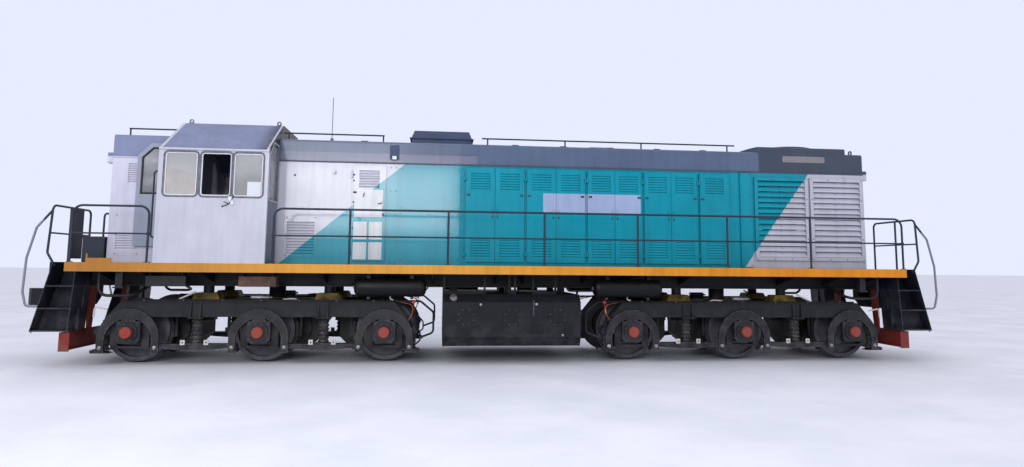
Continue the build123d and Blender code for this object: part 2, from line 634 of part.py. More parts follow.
# Corner stairs: how far each tread lies under the deck, its depth, and how far it is set in from
# the inner plate, which slants away from it
TREADS = ((400.0, 440.0, 0.0), (760.0, 340.0, 40.0), (1120.0, 230.0, 40.0))
TREAD_PLATE = 22.0
STAIR_TOP_X = SILL_HALF_LENGTH + 210
STAIR_FOOT_X = SILL_HALF_LENGTH + 490
STAIR_INNER_X = SILL_HALF_LENGTH - 150


def end_steps():
    """Side-facing stair at one corner: two slanting plates, three treads and their risers."""
    foot = DECK_TOP - TREADS[-1][0]
    below_sill = DECK_TOP - SILL_DEPTH
    t = STAIR_PLATE
    outer = [(STAIR_TOP_X - t, DECK_TOP), (STAIR_TOP_X, DECK_TOP), (STAIR_FOOT_X, foot),
             (STAIR_FOOT_X - t, foot)]
    inner = [(STAIR_INNER_X, below_sill), (STAIR_INNER_X + t, below_sill), (STAIR_INNER_X + 60 + t, foot),
             (STAIR_INNER_X + 60, foot)]
    shapes = [along_y(outer, STAIR_Y0, STAIR_Y1), along_y(inner, STAIR_Y0, STAIR_Y1)]
    shapes.append(block(SILL_HALF_LENGTH, STAIR_TOP_X - t / 2, NOTCH_Y, STAIR_Y0 + 180, DECK_LOW, DECK_TOP))
    slope = (STAIR_FOOT_X - STAIR_TOP_X) / TREADS[-1][0]
    above = below_sill
    x0 = STAIR_INNER_X + t / 2
    for drop, depth, inset in TREADS:
        z = DECK_TOP - drop
        x1 = STAIR_TOP_X + slope * drop - t / 2
        y = STAIR_Y1 - depth
        shapes.append(block(x0 + inset, x1 - 8, y, STAIR_Y1, z, z + TREAD_PLATE))
        riser = [(x0, z), (x1 - 2, z), (STAIR_TOP_X + slope * (DECK_TOP - above) - t, above), (x0, above)]
        shapes.append(along_y(riser, y, y + t))
        above = z
    return fused(shapes)


def rail_guard():
    """Plate across the rails with swept-back wings, on four posts under the centre sills."""
    low, wing = rail(240), STAIR_Y1 - 40
    blade = block(GUARD_X - 20, GUARD_X, -wing, wing, low, GUARD_TOP)
    lip = block(GUARD_X - 60, GUARD_X - 20 + LAP, -wing, wing, low, low + 14)
    wings = both_sides([block(GUARD_X - 160, GUARD_X, wing - 20, wing, low, GUARD_TOP)])
    outline = [(GUARD_X - 20 + LAP, rail(420)), (GUARD_X - 20 + LAP, GUARD_TOP), (GUARD_X - 20, SILL_LOW),
               (GUARD_X - 120, SILL_LOW), (GUARD_X - 50, rail(420))]
    posts = both_sides([along_y(outline, CENTRE_SILL_Y - 60, CENTRE_SILL_Y + 60)])
    return fused([blade, lip] + wings + posts)


TANK_LOW = rail(300)
TANK_TOP = rail(1180)
TANK_HALF_WIDTH = SILL_HALF_WIDTH - 60
TANK_RIM = 14.0
TANK_COVERS = (-800.0, 0.0, 790.0)
TANK_COVER_Z = rail(800)
TANK_FEET = (-1000.0, 0.0, 1000.0)
# Under-deck brackets on the tank: start x, end x
TANK_BRACKETS = ((-1200, -450), (-50, 90), (380, 820))


def fuel_tank():
    """Tank with bevelled shoulders, round covers, end flanges and its brackets to the frame."""
    y, z0, z1 = TANK_HALF_WIDTH, TANK_LOW, TANK_TOP
    section = [(-y + 150, z1), (y - 150, z1), (y, z1 - 130), (y, z0 + 160), (y - 110, z0), (110 - y, z0),
               (-y, z0 + 160), (-y, z1 - 130)]
    pieces = [along_x(section, -TANK_HALF, TANK_HALF)]
    middle = (z0 + z1) / 2
    rim = [(py * 1.004, (pz - middle) * 1.012 + middle) for py, pz in section]
    for x in (-TANK_HALF, TANK_HALF - TANK_RIM):
        pieces.append(along_x(rim, x, x + TANK_RIM))
    for x in TANK_COVERS:
        cover = rod((x, y - LAP, TANK_COVER_Z), (x, y + 10, TANK_COVER_Z), 320)
        dome = rod((x, y, TANK_COVER_Z), (x, y + 18, TANK_COVER_Z), 230)
        pieces += both_sides([cover, dome])
    pieces += both_sides([block(-TANK_HALF, TANK_HALF, y - LAP, y + 5, rail(620), rail(632))])
    for x0, x1 in TANK_BRACKETS:
        bracket = block(x0, x1, y - 330, y - 290, z1 - 5, DECK_LOW)
        window = block(x0 + 35, x1 - 35, y - 331, y - 289, z1 + 45, DECK_LOW - 160)
        pieces += both_sides([bracket - window])
    for x in TANK_FEET:
        foot = block(x - 60, x + 60, CENTRE_SILL_Y - 60, CENTRE_SILL_Y + 60, z1 - LAP, SILL_LOW)
        pieces += both_sides([foot])
    return fused(pieces)


RESERVOIR_DIAMETER = 320.0
RESERVOIR_Y = 1300.0
RESERVOIR_Z = rail(1295)
# Reservoirs on each side: start x, end x
RESERVOIRS = ((-2730.0, -1490.0), (1460.0, 2720.0))


def air_reservoirs():
    """Drums with domed ends, slung under the deck by two straps each."""
    shapes = []
    radius = RESERVOIR_DIAMETER / 2
    for x0, x1 in RESERVOIRS:
        points = [(0, x0), (radius * 0.6, x0 + 12), (radius * 0.9, x0 + 45), (radius, x0 + 90),
                  (radius, x1 - 90), (radius * 0.9, x1 - 45), (radius * 0.6, x1 - 12), (0, x1)]
        face = make_face(Polyline(*[(along, r) for r, along in points], close=True))
        drum = Pos(0, RESERVOIR_Y, RESERVOIR_Z) * revolve(face, Axis.X)
        for x in (x0 + 250, x1 - 250):
            centre = (x, RESERVOIR_Y, RESERVOIR_Z)
            strap = rod((x - 30, *centre[1:]), (x + 30, *centre[1:]), RESERVOIR_DIAMETER + 12)
            hanger = block(x - 30, x + 30, RESERVOIR_Y - 70, RESERVOIR_Y + 70, RESERVOIR_Z, DECK_LOW)
            drum = fused([drum, strap, hanger])
        shapes.append(drum)
    return both_sides(shapes)


# Hoods

def hood_face(half, edge, corner, low):
    """Hood section with upright sides, small rounded corners and a crowned roof."""
    flat = half - corner
    return make_face([
        Line((-half, low), (half, low)),
        Line((half, low), (half, edge - corner)),
        TangentArc((half, edge - corner), (flat, edge), tangent=(0, 1)),
        ThreePointArc((flat, edge), (0, edge + HOOD_CROWN), (-flat, edge)),
        TangentArc((-flat, edge), (-half, edge - corner), tangent=(-1, 0)),
        Line((-half, edge - corner), (-half, low)),
    ])


def hood_prism(x0, x1, inset, low):
    plane = Plane(origin=(x0, 0, 0), x_dir=(0, 1, 0), z_dir=(1, 0, 0))
    corner = max(HOOD_CORNER - inset, 8)
    return extrude(plane * hood_face(HOOD_HALF_WIDTH - inset, HOOD_EDGE - inset, corner, low), x1 - x0)


def gutter(x0, x1):
    """Drip strip under the roof band, on the +Y side."""
    y = HOOD_HALF_WIDTH
    section = [(y - LAP, GUTTER_Z - 25), (y + 8, GUTTER_Z - 25), (y + 22, GUTTER_Z), (y - LAP, GUTTER_Z)]
    return along_x(section, x0, x1)


def hood_shell(x0, x1, end_low=False, end_high=False):
    """Open-bottomed hood with its gutters; the ends stay open where the next one joins."""
    a = x0 + (WALL if end_low else -LAP)
    b = x1 - (WALL if end_high else -LAP)
    shell = hood_prism(x0, x1, 0, DECK_TOP) - hood_prism(a, b, WALL, DECK_TOP - LAP)
    return fused([shell] + both_sides([gutter(x0, x1)]))


def louvre_cut(x0, x1, y, z0, z1, slats, depth):
    """Saw-toothed recess that leaves sloping slats, cut from the face at y on the +Y side."""
    pitch = (z1 - z0) / slats
    section = [(y + LAP, z0)]
    for i in range(slats):
        low = z0 + i * pitch
        section += [(y, low), (y - depth, low + pitch * 0.75), (y, low + pitch * 0.85)]
    section.append((y + LAP, z1))
    return along_x(section, x0, x1)


def panel(x0, x1, z0, z1, thickness):
    """Screwed-on plate on the hood's +Y side."""
    y = HOOD_HALF_WIDTH
    return block(x0, x1, y - LAP, y + thickness, z0, z1)


# Door bays of the engine hood, from its first post: width of each pair of leaves
FIRST_POST_X = ENGINE_HOOD_X + 1200
DOOR_BAYS = (1130.0, 1150.0, 1090.0, 1090.0)
LEAF_Y0 = HOOD_HALF_WIDTH + MOVING_GAP
HINGE_Y = LEAF_Y0 + DOOR_THICKNESS
HINGE_SHARES = (0.1, 0.9)
# Louvres on every engine leaf: height of the lower edge over the deck, height, slats
LEAF_LOUVRES = ((1380.0, 330.0, 7), (140.0, 340.0, 7))
LOUVRE_WIDTH = 360.0
LOUVRE_DEPTH = 14.0


def engine_leaves():
    """Name, post x, direction and width of each engine-room leaf, from the cab forwards."""
    rows = []
    post = FIRST_POST_X
    for bay in DOOR_BAYS:
        width = bay / 2 - HINGE_OFFSET - MOVING_GAP / 2
        rows.append((f"engine_door_{len(rows) + 1}", post, 1, width))
        rows.append((f"engine_door_{len(rows) + 1}", post + bay, -1, width))
        post += bay
    return rows


# Single leaves: name, post x, direction, distance from hinge to free edge
FAN_ROOM_LEAF = ("fan_room_door", FIRST_POST_X + sum(DOOR_BAYS), 1, 590.0)
SWITCHGEAR_LEAF = ("switchgear_door", ENGINE_HOOD_X - 850, 1, 605.0)


def door_opening(post, way, width):
    """Cut for one leaf in the hood's +Y wall."""
    hinge = post + way * HINGE_OFFSET
    x0, x1 = sorted((hinge + way * DOOR_FRAME, hinge + way * (width - DOOR_FRAME)))
    return block(x0, x1, HOOD_HALF_WIDTH - WALL - LAP, HOOD_HALF_WIDTH + LAP,
                 DOOR_BOTTOM + DOOR_FRAME, DOOR_TOP - DOOR_FRAME)


def hinge_levels(low, high, shares=HINGE_SHARES):
    return [low + share * (high - low) for share in shares]


def with_knuckles(leaf, x, y, low, high, shares=HINGE_SHARES):
    """Add the leaf's knuckles and clear it round the fixed ones below them."""
    for z in hinge_levels(low, high, shares):
        below = z - KNUCKLE - MOVING_GAP
        leaf = leaf - rod((x, y, below), (x, y, z), HINGE_DIAMETER + 2 * MOVING_GAP)
        leaf = leaf + rod((x, y, z), (x, y, z + KNUCKLE), HINGE_DIAMETER)
    return leaf


def door_leaf(post, way, width, louvres=LEAF_LOUVRES):
    """Pressed leaf with its louvres, handle and upper hinge knuckles, on the +Y side."""
    hinge = post + way * HINGE_OFFSET
    x0, x1 = sorted((hinge + way * MOVING_GAP, hinge + way * width))
    leaf = block(x0, x1, LEAF_Y0, HINGE_Y, DOOR_BOTTOM, DOOR_TOP)
    middle = (x0 + x1) / 2
    for over_deck, height, slats in louvres:
        low = DECK_TOP + over_deck
        leaf = leaf - louvre_cut(middle - LOUVRE_WIDTH / 2, middle + LOUVRE_WIDTH / 2, HINGE_Y, low,
                                 low + height, slats, LOUVRE_DEPTH)
    grip = hinge + way * (width - 45)
    z = DECK_TOP + 960
    leaf = leaf + block(grip - 12, grip + 12, HINGE_Y - LAP, HINGE_Y + 14, z, z + 90)
    return with_knuckles(leaf, hinge, HINGE_Y, DOOR_BOTTOM, DOOR_TOP)


def hinge_brackets(post, way):
    """Lower knuckles and their plates, fixed to the post beside the leaf."""
    hinge = post + way * HINGE_OFFSET
    shapes = []
    for z in hinge_levels(DOOR_BOTTOM, DOOR_TOP):
        low, high = z - KNUCKLE, z - RUNNING_GAP
        shapes.append(rod((hinge, HINGE_Y, low), (hinge, HINGE_Y, high), HINGE_DIAMETER))
        x0, x1 = sorted((hinge, hinge - way * 2 * HINGE_OFFSET))
        shapes.append(block(x0, x1, HOOD_HALF_WIDTH - LAP, HINGE_Y, low, high))
    return shapes


def with_doors(hood, rows):
    """Cut the door openings on both sides and add the fixed hinge halves."""
    for _, post, way, width in rows:
        cut = door_opening(post, way, width)
        hood = hood - cut - other_side(cut)
        hood = fused([hood] + both_sides(hinge_brackets(post, way)))
    return hood


def end_fittings(x, way):
    """Main lamp, two marker lamps and an access panel on a hood's end wall."""
    lamp_z = HOOD_EDGE - 230
    shapes = []
    drum = rod((x - way * LAP, 0, lamp_z), (x + way * 90, 0, lamp_z), 340)
    shapes.append(drum - rod((x + way * 30, 0, lamp_z), (x + way * 91, 0, lamp_z), 300))
    low = DECK_TOP + 1740
    x0, x1 = sorted((x - way * LAP, x + way * 110))
    box = rounded_block(x0, x1, HOOD_HALF_WIDTH - 230, HOOD_HALF_WIDTH - 40, low, low + 190, 30, Axis.X)
    middle_y, middle_z = HOOD_HALF_WIDTH - 135, low + 95
    box = box - rod((x + way * 85, middle_y, middle_z), (x + way * 111, middle_y, middle_z), 150)
    shapes += both_sides([box])
    a, b = sorted((x - way * LAP, x + way * 10))
    shapes.append(block(a, b, -420, 420, DECK_TOP + 120, DECK_TOP + 1500))
    return shapes


# Low lids on the long hood's roof, from the engine hood's start: start x, end x
ROOF_LIDS = ((1750.0, 2650.0), (2700.0, 3600.0), (3650.0, 4550.0), (4600.0, 5500.0), (5550.0, 6450.0))
LID_HALF = 480.0
LID_RISE = 25.0


def roof_lid(x0, x1):
    """Lid that follows the crowned roof."""
    over = hood_prism(x0, x1, -LID_RISE, HOOD_EDGE - 10)
    band = over - hood_prism(x0 - LAP, x1 + LAP, LAP, HOOD_EDGE - 20)
    return band & block(x0, x1, -LID_HALF, LID_HALF, HOOD_EDGE - 20, HOOD_TOP + 2 * LID_RISE)


def short_hood():
    """Hood behind the cab: a louvre high up, and another one in the plate below it."""
    x, y, z = SHORT_HOOD_X, HOOD_HALF_WIDTH, DECK_TOP
    plate = panel(x + 100, x + 900, z + 120, z + 850, 4)
    hood = fused([hood_shell(x, CAB_BACK_X, end_low=True)] + end_fittings(x, -1) + both_sides([plate]))
    upper = louvre_cut(x + 270, x + 480, y, z + 1390, z + 1740, 9, 16)
    lower = louvre_cut(x + 140, x + 480, y + 4, z + 220, z + 520, 7, 16)
    for cut in both_sides([upper, lower]):
        hood = hood - cut
    return hood


def equipment_hood():
    hood = with_doors(hood_shell(CAB_FRONT_X, ENGINE_HOOD_X), [SWITCHGEAR_LEAF])
    x, y = CAB_FRONT_X, HOOD_HALF_WIDTH
    frame = panel(x + 150, x + 710, DECK_TOP + 120, DECK_TOP + 860, 6)
    grille = louvre_cut(x + 190, x + 670, y + 6, DECK_TOP + 160, DECK_TOP + 760, 12, 18)
    hood = fused([hood] + both_sides([frame])) - grille - other_side(grille)
    strip = panel(ENGINE_HOOD_X - 170, ENGINE_HOOD_X - 20, DECK_TOP + 20, GUTTER_Z - 60, 8)
    hatch = roof_lid(x + 770, x + 2100)
    base = rod((x + 830, -330, HOOD_EDGE), (x + 830, -330, HOOD_TOP + 90), 60)
    mast = rod((x + 830, -330, HOOD_TOP + 80), (x + 830, -330, HOOD_TOP + 880), 14)
    bracket = panel(x + 970, x + 1010, DECK_TOP + 1630, DECK_TOP + 1690, 60)
    return fused([hood] + both_sides([strip]) + [hatch, base, mast] + both_sides([bracket]))


def engine_hood(rows):
    hood = with_doors(hood_shell(ENGINE_HOOD_X, RADIATOR_X), rows)
    x, y = ENGINE_HOOD_X, HOOD_HALF_WIDTH
    plates = [
        panel(x + 30, x + 1120, DECK_TOP + 1020, DECK_TOP + 1780, 8),
        panel(x + 30, x + 1120, DECK_TOP + 70, DECK_TOP + 960, 6),
        panel(x + 1145, x + 1185, DECK_TOP + 20, GUTTER_Z - 60, 10),
        panel(RADIATOR_X - 270, RADIATOR_X - 40, DECK_TOP + 20, GUTTER_Z - 30, 30),
    ]
    seam = [block(x, x + 1430, y - LAP, y + 6, GUTTER_Z + 170, GUTTER_Z + 182)]
    hood = fused([hood] + both_sides(plates) + both_sides(seam))
    hood = fused([hood] + [roof_lid(x + x0, x + x1) for x0, x1 in ROOF_LIDS])
    stack = rounded_block(x + 3700, x + 4200, -150, 150, HOOD_TOP - 10, HOOD_TOP + 95, 60, Axis.Z)
    bore = rounded_block(x + 3725, x + 4175, -125, 125, HOOD_TOP + 40, HOOD_TOP + 96, 40, Axis.Z)
    return hood + stack - bore


SHUTTER_Z0 = DECK_TOP + 215
SHUTTER_Z1 = DECK_TOP + 1690
SHUTTER_BAYS = ((RADIATOR_X + 20, RADIATOR_X + 1110), (RADIATOR_X + 1150, RADIATOR_X + 2240))
SHUTTER_RIM = 65.0
SLATS = 14


def shutter_opening(x0, x1):
    """Cut in the hood's +Y wall behind one shutter, a little clear of its slats."""
    gap, y = SHUTTER_RIM - 3, HOOD_HALF_WIDTH
    return block(x0 + gap, x1 - gap, y - WALL - LAP, y + LAP, SHUTTER_Z0 - 3, SHUTTER_Z1 + 3)


def shutter(x0, x1):
    """Frame with sloping slats, set in an opening of the radiator hood's +Y wall."""
    y1 = HOOD_HALF_WIDTH + 30
    y0 = HOOD_HALF_WIDTH
    z0, z1 = SHUTTER_Z0 - SHUTTER_RIM, SHUTTER_Z1 + SHUTTER_RIM
    outer = block(x0, x1, y0, y1, z0, z1)
    inner_x0, inner_x1 = x0 + SHUTTER_RIM, x1 - SHUTTER_RIM
    frame = outer - block(inner_x0, inner_x1, y0 - LAP, y1 + LAP, SHUTTER_Z0, SHUTTER_Z1)
    pitch = (SHUTTER_Z1 - SHUTTER_Z0) / SLATS
    slats = []
    for i in range(SLATS):
        z = SHUTTER_Z0 + (i + 0.5) * pitch
        half = pitch * 0.46
        section = [(y1 - 4, z - half), (y1 - 8, z - half), (y0 - 22, z + half), (y0 - 18, z + half),
                   (y1 - 4, z - half + 10)]
        slats.append(along_x(section, inner_x0 - LAP, inner_x1 + LAP))
    back = [block(x - 6, x + 6, y0 - 30, y0 + 8, SHUTTER_Z0 - LAP, SHUTTER_Z1 + LAP)
            for x in (inner_x0 + 10, (x0 + x1) / 2, inner_x1 - 10)]
    return fused([frame] + back + slats)


def fan_guard():
    """Rings and bars over the fan's opening."""
    z, tube = HOOD_TOP + COWL_HEIGHT - 20, 16
    rings = []
    for radius in (200, 400):
        ring = rod((FAN_X, 0, z - 8), (FAN_X, 0, z + 8), 2 * radius + tube)
        rings.append(ring - rod((FAN_X, 0, z - 9), (FAN_X, 0, z + 9), 2 * radius - tube))
    reach = FAN_DIAMETER / 2 + 20
    bars = [turned(block(FAN_X - reach, FAN_X + reach, -8, 8, z - 8, z + 8), angle, FAN_X, 0)
            for angle in (0, 45, 90, 135)]
    return rings + bars


def radiator_hood():
    """Radiator room with two shutter openings a side and a raised cowl round the fan."""
    hood = hood_shell(RADIATOR_X, LONG_HOOD_END_X, end_high=True)
    rise = Pos(0, 0, COWL_HEIGHT) * hood_prism(COWL_X0, COWL_X1, 0, HOOD_EDGE - COWL_HEIGHT - WALL)
    hollow = Pos(0, 0, COWL_HEIGHT) * hood_prism(COWL_X0 + WALL, COWL_X1 - WALL, WALL,
                                                 HOOD_EDGE - COWL_HEIGHT - 2 * WALL)
    top = HOOD_TOP + COWL_HEIGHT
    hood = hood + rise - hollow - rod((FAN_X, 0, HOOD_EDGE), (FAN_X, 0, top + LAP), FAN_DIAMETER)
    for bay in SHUTTER_BAYS:
        cut = shutter_opening(*bay)
        hood = hood - cut - other_side(cut)
    lip = rod((FAN_X, 0, top - 60), (FAN_X, 0, top + 25), FAN_DIAMETER + 50)
    lip = lip - rod((FAN_X, 0, top - 61), (FAN_X, 0, top + 26), FAN_DIAMETER)
    ring_x = LONG_HOOD_END_X - 70
    eye = rod((ring_x - 9, -600, HOOD_TOP + 25), (ring_x + 9, -600, HOOD_TOP + 25), 110)
    eye = eye - rod((ring_x - 10, -600, HOOD_TOP + 30), (ring_x + 10, -600, HOOD_TOP + 30), 60)
    return fused([hood, lip] + fan_guard() + both_sides([eye]) + end_fittings(LONG_HOOD_END_X, 1))


BLADES = 8
GEARBOX_TOP = DECK_TOP + 1320


def fan():
    """Hub, shaft and pitched blades of the cooling fan."""
    wheel = rod((FAN_X, 0, FAN_Z - 90), (FAN_X, 0, FAN_Z + 90), 260)
    wheel = wheel + rod((FAN_X, 0, GEARBOX_TOP + RUNNING_GAP), (FAN_X, 0, FAN_Z - 90 + LAP), 80)
    root, tip = 110, FAN_DIAMETER / 2 - 20
    outline = [(root, -60), (tip * 0.7, -95), (tip, -80), (tip, 90), (tip * 0.6, 80), (root, 60)]
    for i in range(BLADES):
        blade = Rot(30, 0, 0) * along_z(outline, -7, 7)
        wheel = wheel + turned(Pos(FAN_X, 0, FAN_Z) * blade, i * 360 / BLADES, FAN_X, 0)
    return wheel


def fan_gearbox():
    """Stand on the deck with the gearbox that carries the fan's shaft."""
    stand = block(FAN_X - 200, FAN_X + 200, -200, 200, DECK_TOP, GEARBOX_TOP - 250)
    box = rounded_block(FAN_X - 280, FAN_X + 280, -240, 240, GEARBOX_TOP - 260, GEARBOX_TOP - 40, 60,
                        Axis.Z)
    boss = rod((FAN_X, 0, GEARBOX_TOP - 60), (FAN_X, 0, GEARBOX_TOP), 200)
    return fused([stand, box, boss])


def roof_ventilator():
    """Box vent on the roof: straight skirt, wider eave and sloping upper sides."""
    x0, x1 = ENGINE_HOOD_X + 190, ENGINE_HOOD_X + 1340
    base, eave, top = HOOD_EDGE - 10, HOOD_TOP + 110, HOOD_TOP + 250
    skirt = block(x0 + 10, x1 - 10, -500, 500, base, eave)
    brim = block(x0 - 30, x1 + 30, -540, 540, eave - 8, eave + 8)
    bonnet = along_y([(x0, eave), (x1, eave), (x1 - 60, top), (x0 + 60, top)], -520, 520)
    crown = along_y([(x0 + 420, top - LAP), (x1 - 420, top - LAP), (x1 - 500, top + 22),
                     (x0 + 500, top + 22)], -300, 300)
    return fused([skirt, brim, bonnet, crown]) - hood_prism(x0 - 60, x1 + 60, 0, base - 50)


def engine_block():
    """Engine and generator as one plain block on the deck."""
    return block(ENGINE_HOOD_X + 140, RADIATOR_X - 1320, -450, 450, DECK_TOP, DECK_TOP + 1620)


# Cab
# Side windows from the cab's back wall: start, end
SIDE_WINDOWS = ((95.0, 635.0), (675.0, 1185.0), (1205.0, 1700.0))
WINDOW_LOW = DECK_TOP + 1110
WINDOW_HIGH = DECK_TOP + 1860
WINDOW_CORNER = 60.0
PANE = 8.0
BAY_Y0 = HOOD_HALF_WIDTH + 55
BAY_Y1 = CAB_HALF_WIDTH - 115
CAB_DOOR_LOW = CAB_FLOOR + 30
CAB_DOOR_TOP = DECK_TOP + 2080
DOOR_BEVEL = 220.0
SEAT_Y = (-1050.0, 900.0)
CAB_MIDDLE_X = (CAB_BACK_X + CAB_FRONT_X) / 2


def cab_outline(inset, low):
    """Cab end outline with its sloped roof, set in by a wall."""
    half, eave = CAB_HALF_WIDTH - inset, CAB_EAVE - inset * 0.3
    ridge = CAB_RIDGE_Y - inset * 0.3
    top = CAB_RIDGE_Z - inset
    return [(-half, low), (half, low), (half, eave), (ridge, top), (-ridge, top), (-half, eave)]


def bay_opening(x0, x1, low, inset=0.0):
    """Opening in an end wall beside the hood, with a bevelled outer top corner."""
    y0, y1, top = BAY_Y0 + inset, BAY_Y1 - inset, CAB_DOOR_TOP - inset
    outline = [(y0, low), (y1, low), (y1, top - DOOR_BEVEL), (y1 - DOOR_BEVEL, top), (y0, top)]
    return along_x(outline, x0, x1)


def cab_hull():
    """Walls and roof of the cab, before they part at the eaves."""
    outer = along_x(cab_outline(0, DECK_TOP), CAB_BACK_X, CAB_FRONT_X)
    inner = along_x(cab_outline(CAB_WALL, DECK_TOP - LAP), CAB_BACK_X + CAB_WALL, CAB_FRONT_X - CAB_WALL)
    return outer - inner


def roof_space():
    """Everything over the eaves between the end walls' inner planes."""
    reach = CAB_HALF_WIDTH + 100
    return block(CAB_BACK_X + CAB_WALL, CAB_FRONT_X - CAB_WALL, -reach, reach, CAB_EAVE, CAB_RIDGE_Z + 100)


def side_window(x0, x1, inset=0.0):
    """Rounded cut through both side walls."""
    reach = CAB_HALF_WIDTH + 10
    return rounded_block(CAB_BACK_X + x0 + inset, CAB_BACK_X + x1 - inset, -reach, reach,
                         WINDOW_LOW + inset, WINDOW_HIGH - inset, WINDOW_CORNER)


def cab_shell():
    """Side walls up to the eaves and end walls up to the roof, with windows and doorways cut."""
    shell = cab_hull() - roof_space()
    for x0, x1 in SIDE_WINDOWS:
        shell = shell - side_window(x0, x1)
    back = (CAB_BACK_X - 5, CAB_BACK_X + CAB_WALL + 5)
    front = (CAB_FRONT_X - CAB_WALL - 5, CAB_FRONT_X + 5)
    shell = shell - other_side(bay_opening(*back, CAB_DOOR_LOW)) - bay_opening(*back, WINDOW_LOW)
    shell = shell - bay_opening(*front, CAB_DOOR_LOW) - other_side(bay_opening(*front, WINDOW_LOW))
    brackets = cab_hinge_brackets()
    trim = block(CAB_BACK_X, CAB_FRONT_X, CAB_HALF_WIDTH - LAP, CAB_HALF_WIDTH + 18,
                 CAB_EAVE - 30, CAB_EAVE)
    shell = fused([shell] + both_sides([trim]))
    return fused([shell] + brackets + [turned(shape, 180, CAB_MIDDLE_X, 0) for shape in brackets])


def lifting_lug(x, y):
    """Plate with an eye on the roof."""
    low, z = CAB_RIDGE_Z - 5, CAB_RIDGE_Z + 55
    lug = block(x - 40, x + 40, y - 10, y + 10, low, z) + rod((x, y - 10, z), (x, y + 10, z), 80)
    return lug - rod((x, y - 11, z), (x, y + 11, z), 40)


def cab_roof():
    """Sloped and flat roof sheets between the end walls, with ribs and four lifting lugs."""
    roof = cab_hull() & roof_space()
    lugs = [lifting_lug(x, CAB_RIDGE_Y - 90) for x in (CAB_BACK_X + 110, CAB_FRONT_X - 110)]
    top = block(CAB_BACK_X + 500, CAB_FRONT_X - 500, -300, 300, CAB_RIDGE_Z - LAP, CAB_RIDGE_Z + 30)
    return fused([roof, top] + both_sides(lugs))


def cab_windows():
    """Fixed panes; the middle one on the -Y side is slid back behind its neighbour."""
    shapes = []
    t1 = CAB_HALF_WIDTH - 22
    reach = CAB_HALF_WIDTH
    for number, (x0, x1) in enumerate(SIDE_WINDOWS):
        window = side_window(x0, x1, RUNNING_GAP)
        shapes.append(window & block(CAB_BACK_X, CAB_FRONT_X, t1 - PANE, t1, WINDOW_LOW, WINDOW_HIGH))
        if number == 1:
            shift = SIDE_WINDOWS[0][0] - x0 + 30
            slid = Pos(shift, 0, 0) * window
            shapes.append(slid & block(CAB_BACK_X, CAB_FRONT_X, 30 - reach, 30 - reach + PANE, WINDOW_LOW,
                                       WINDOW_HIGH))
        else:
            shapes.append(window & block(CAB_BACK_X, CAB_FRONT_X, -t1, PANE - t1, WINDOW_LOW, WINDOW_HIGH))
    gap = RUNNING_GAP
    shapes.append(bay_opening(CAB_BACK_X + 22, CAB_BACK_X + 22 + PANE, WINDOW_LOW + gap, gap))
    shapes.append(other_side(bay_opening(CAB_FRONT_X - 22 - PANE, CAB_FRONT_X - 22, WINDOW_LOW + gap, gap)))
    return shapes


def cab_interior():
    """Raised floor with the driver's desk, its instrument hood and two seats."""
    y1 = CAB_HALF_WIDTH - CAB_WALL
    x0, x1 = CAB_BACK_X + CAB_WALL, CAB_FRONT_X - CAB_WALL
    pieces = [block(x0, x1, -y1, y1, DECK_TOP, CAB_FLOOR)]
    z = CAB_FLOOR
    desk = [(x1, z - LAP), (x1, z + 950), (x1 - 250, z + 950), (x1 - 620, z + 760), (x1 - 620, z + 700),
            (x1 - 450, z + 640), (x1 - 450, z - LAP)]
    pieces.append(along_y(desk, -700, 450))
    for y in SEAT_Y:
        pieces.append(rod((x0 + 620, y, z - LAP), (x0 + 620, y, z + 400), 90))
        pieces.append(rounded_block(x0 + 400, x0 + 840, y - 220, y + 220, z + 390, z + 480, 60, Axis.Z))
        pieces.append(rounded_block(x0 + 380, x0 + 450, y - 210, y + 210, z + 470, z + 950, 60, Axis.X))
    return fused(pieces)


CAB_LEAF_X0 = CAB_FRONT_X + MOVING_GAP
CAB_HINGE_X = CAB_LEAF_X0 + CAB_LEAF
CAB_HINGE_Y = BAY_Y0 - 25
CAB_HINGE_SHARES = (0.12, 0.93)
LEAF_LAP = 15.0
SASH = 90.0


def cab_door_leaf():
    """Closed leaf of the front end wall, in its +Y bay; it laps over the opening's edge."""
    low, top = CAB_DOOR_LOW - LEAF_LAP, CAB_DOOR_TOP + LEAF_LAP
    inner, outer = CAB_HINGE_Y + MOVING_GAP, BAY_Y1 + LEAF_LAP
    outline = [(inner, low), (outer, low), (outer, top - DOOR_BEVEL), (outer - DOOR_BEVEL, top),
               (inner, top)]
    leaf = along_x(outline, CAB_LEAF_X0, CAB_HINGE_X)
    sill, head = WINDOW_LOW + 100, top - SASH
    left, right = inner + SASH, outer - SASH
    cut = DOOR_BEVEL - SASH * (2 - math.sqrt(2))
    glass = [(left, sill), (right, sill), (right, head - cut), (right - cut, head), (left, head)]
    leaf = leaf - along_x(glass, CAB_LEAF_X0 - LAP, CAB_HINGE_X + LAP)
    leaf = leaf + along_x(glass, CAB_LEAF_X0 + 10, CAB_LEAF_X0 + 10 + PANE)
    grip = outer - 62
    handle = block(CAB_HINGE_X - LAP, CAB_HINGE_X + 18, grip - 10, grip + 10,
                   CAB_FLOOR + 610, CAB_FLOOR + 830)
    return with_knuckles(leaf + handle, CAB_HINGE_X, CAB_HINGE_Y, low, top, CAB_HINGE_SHARES)


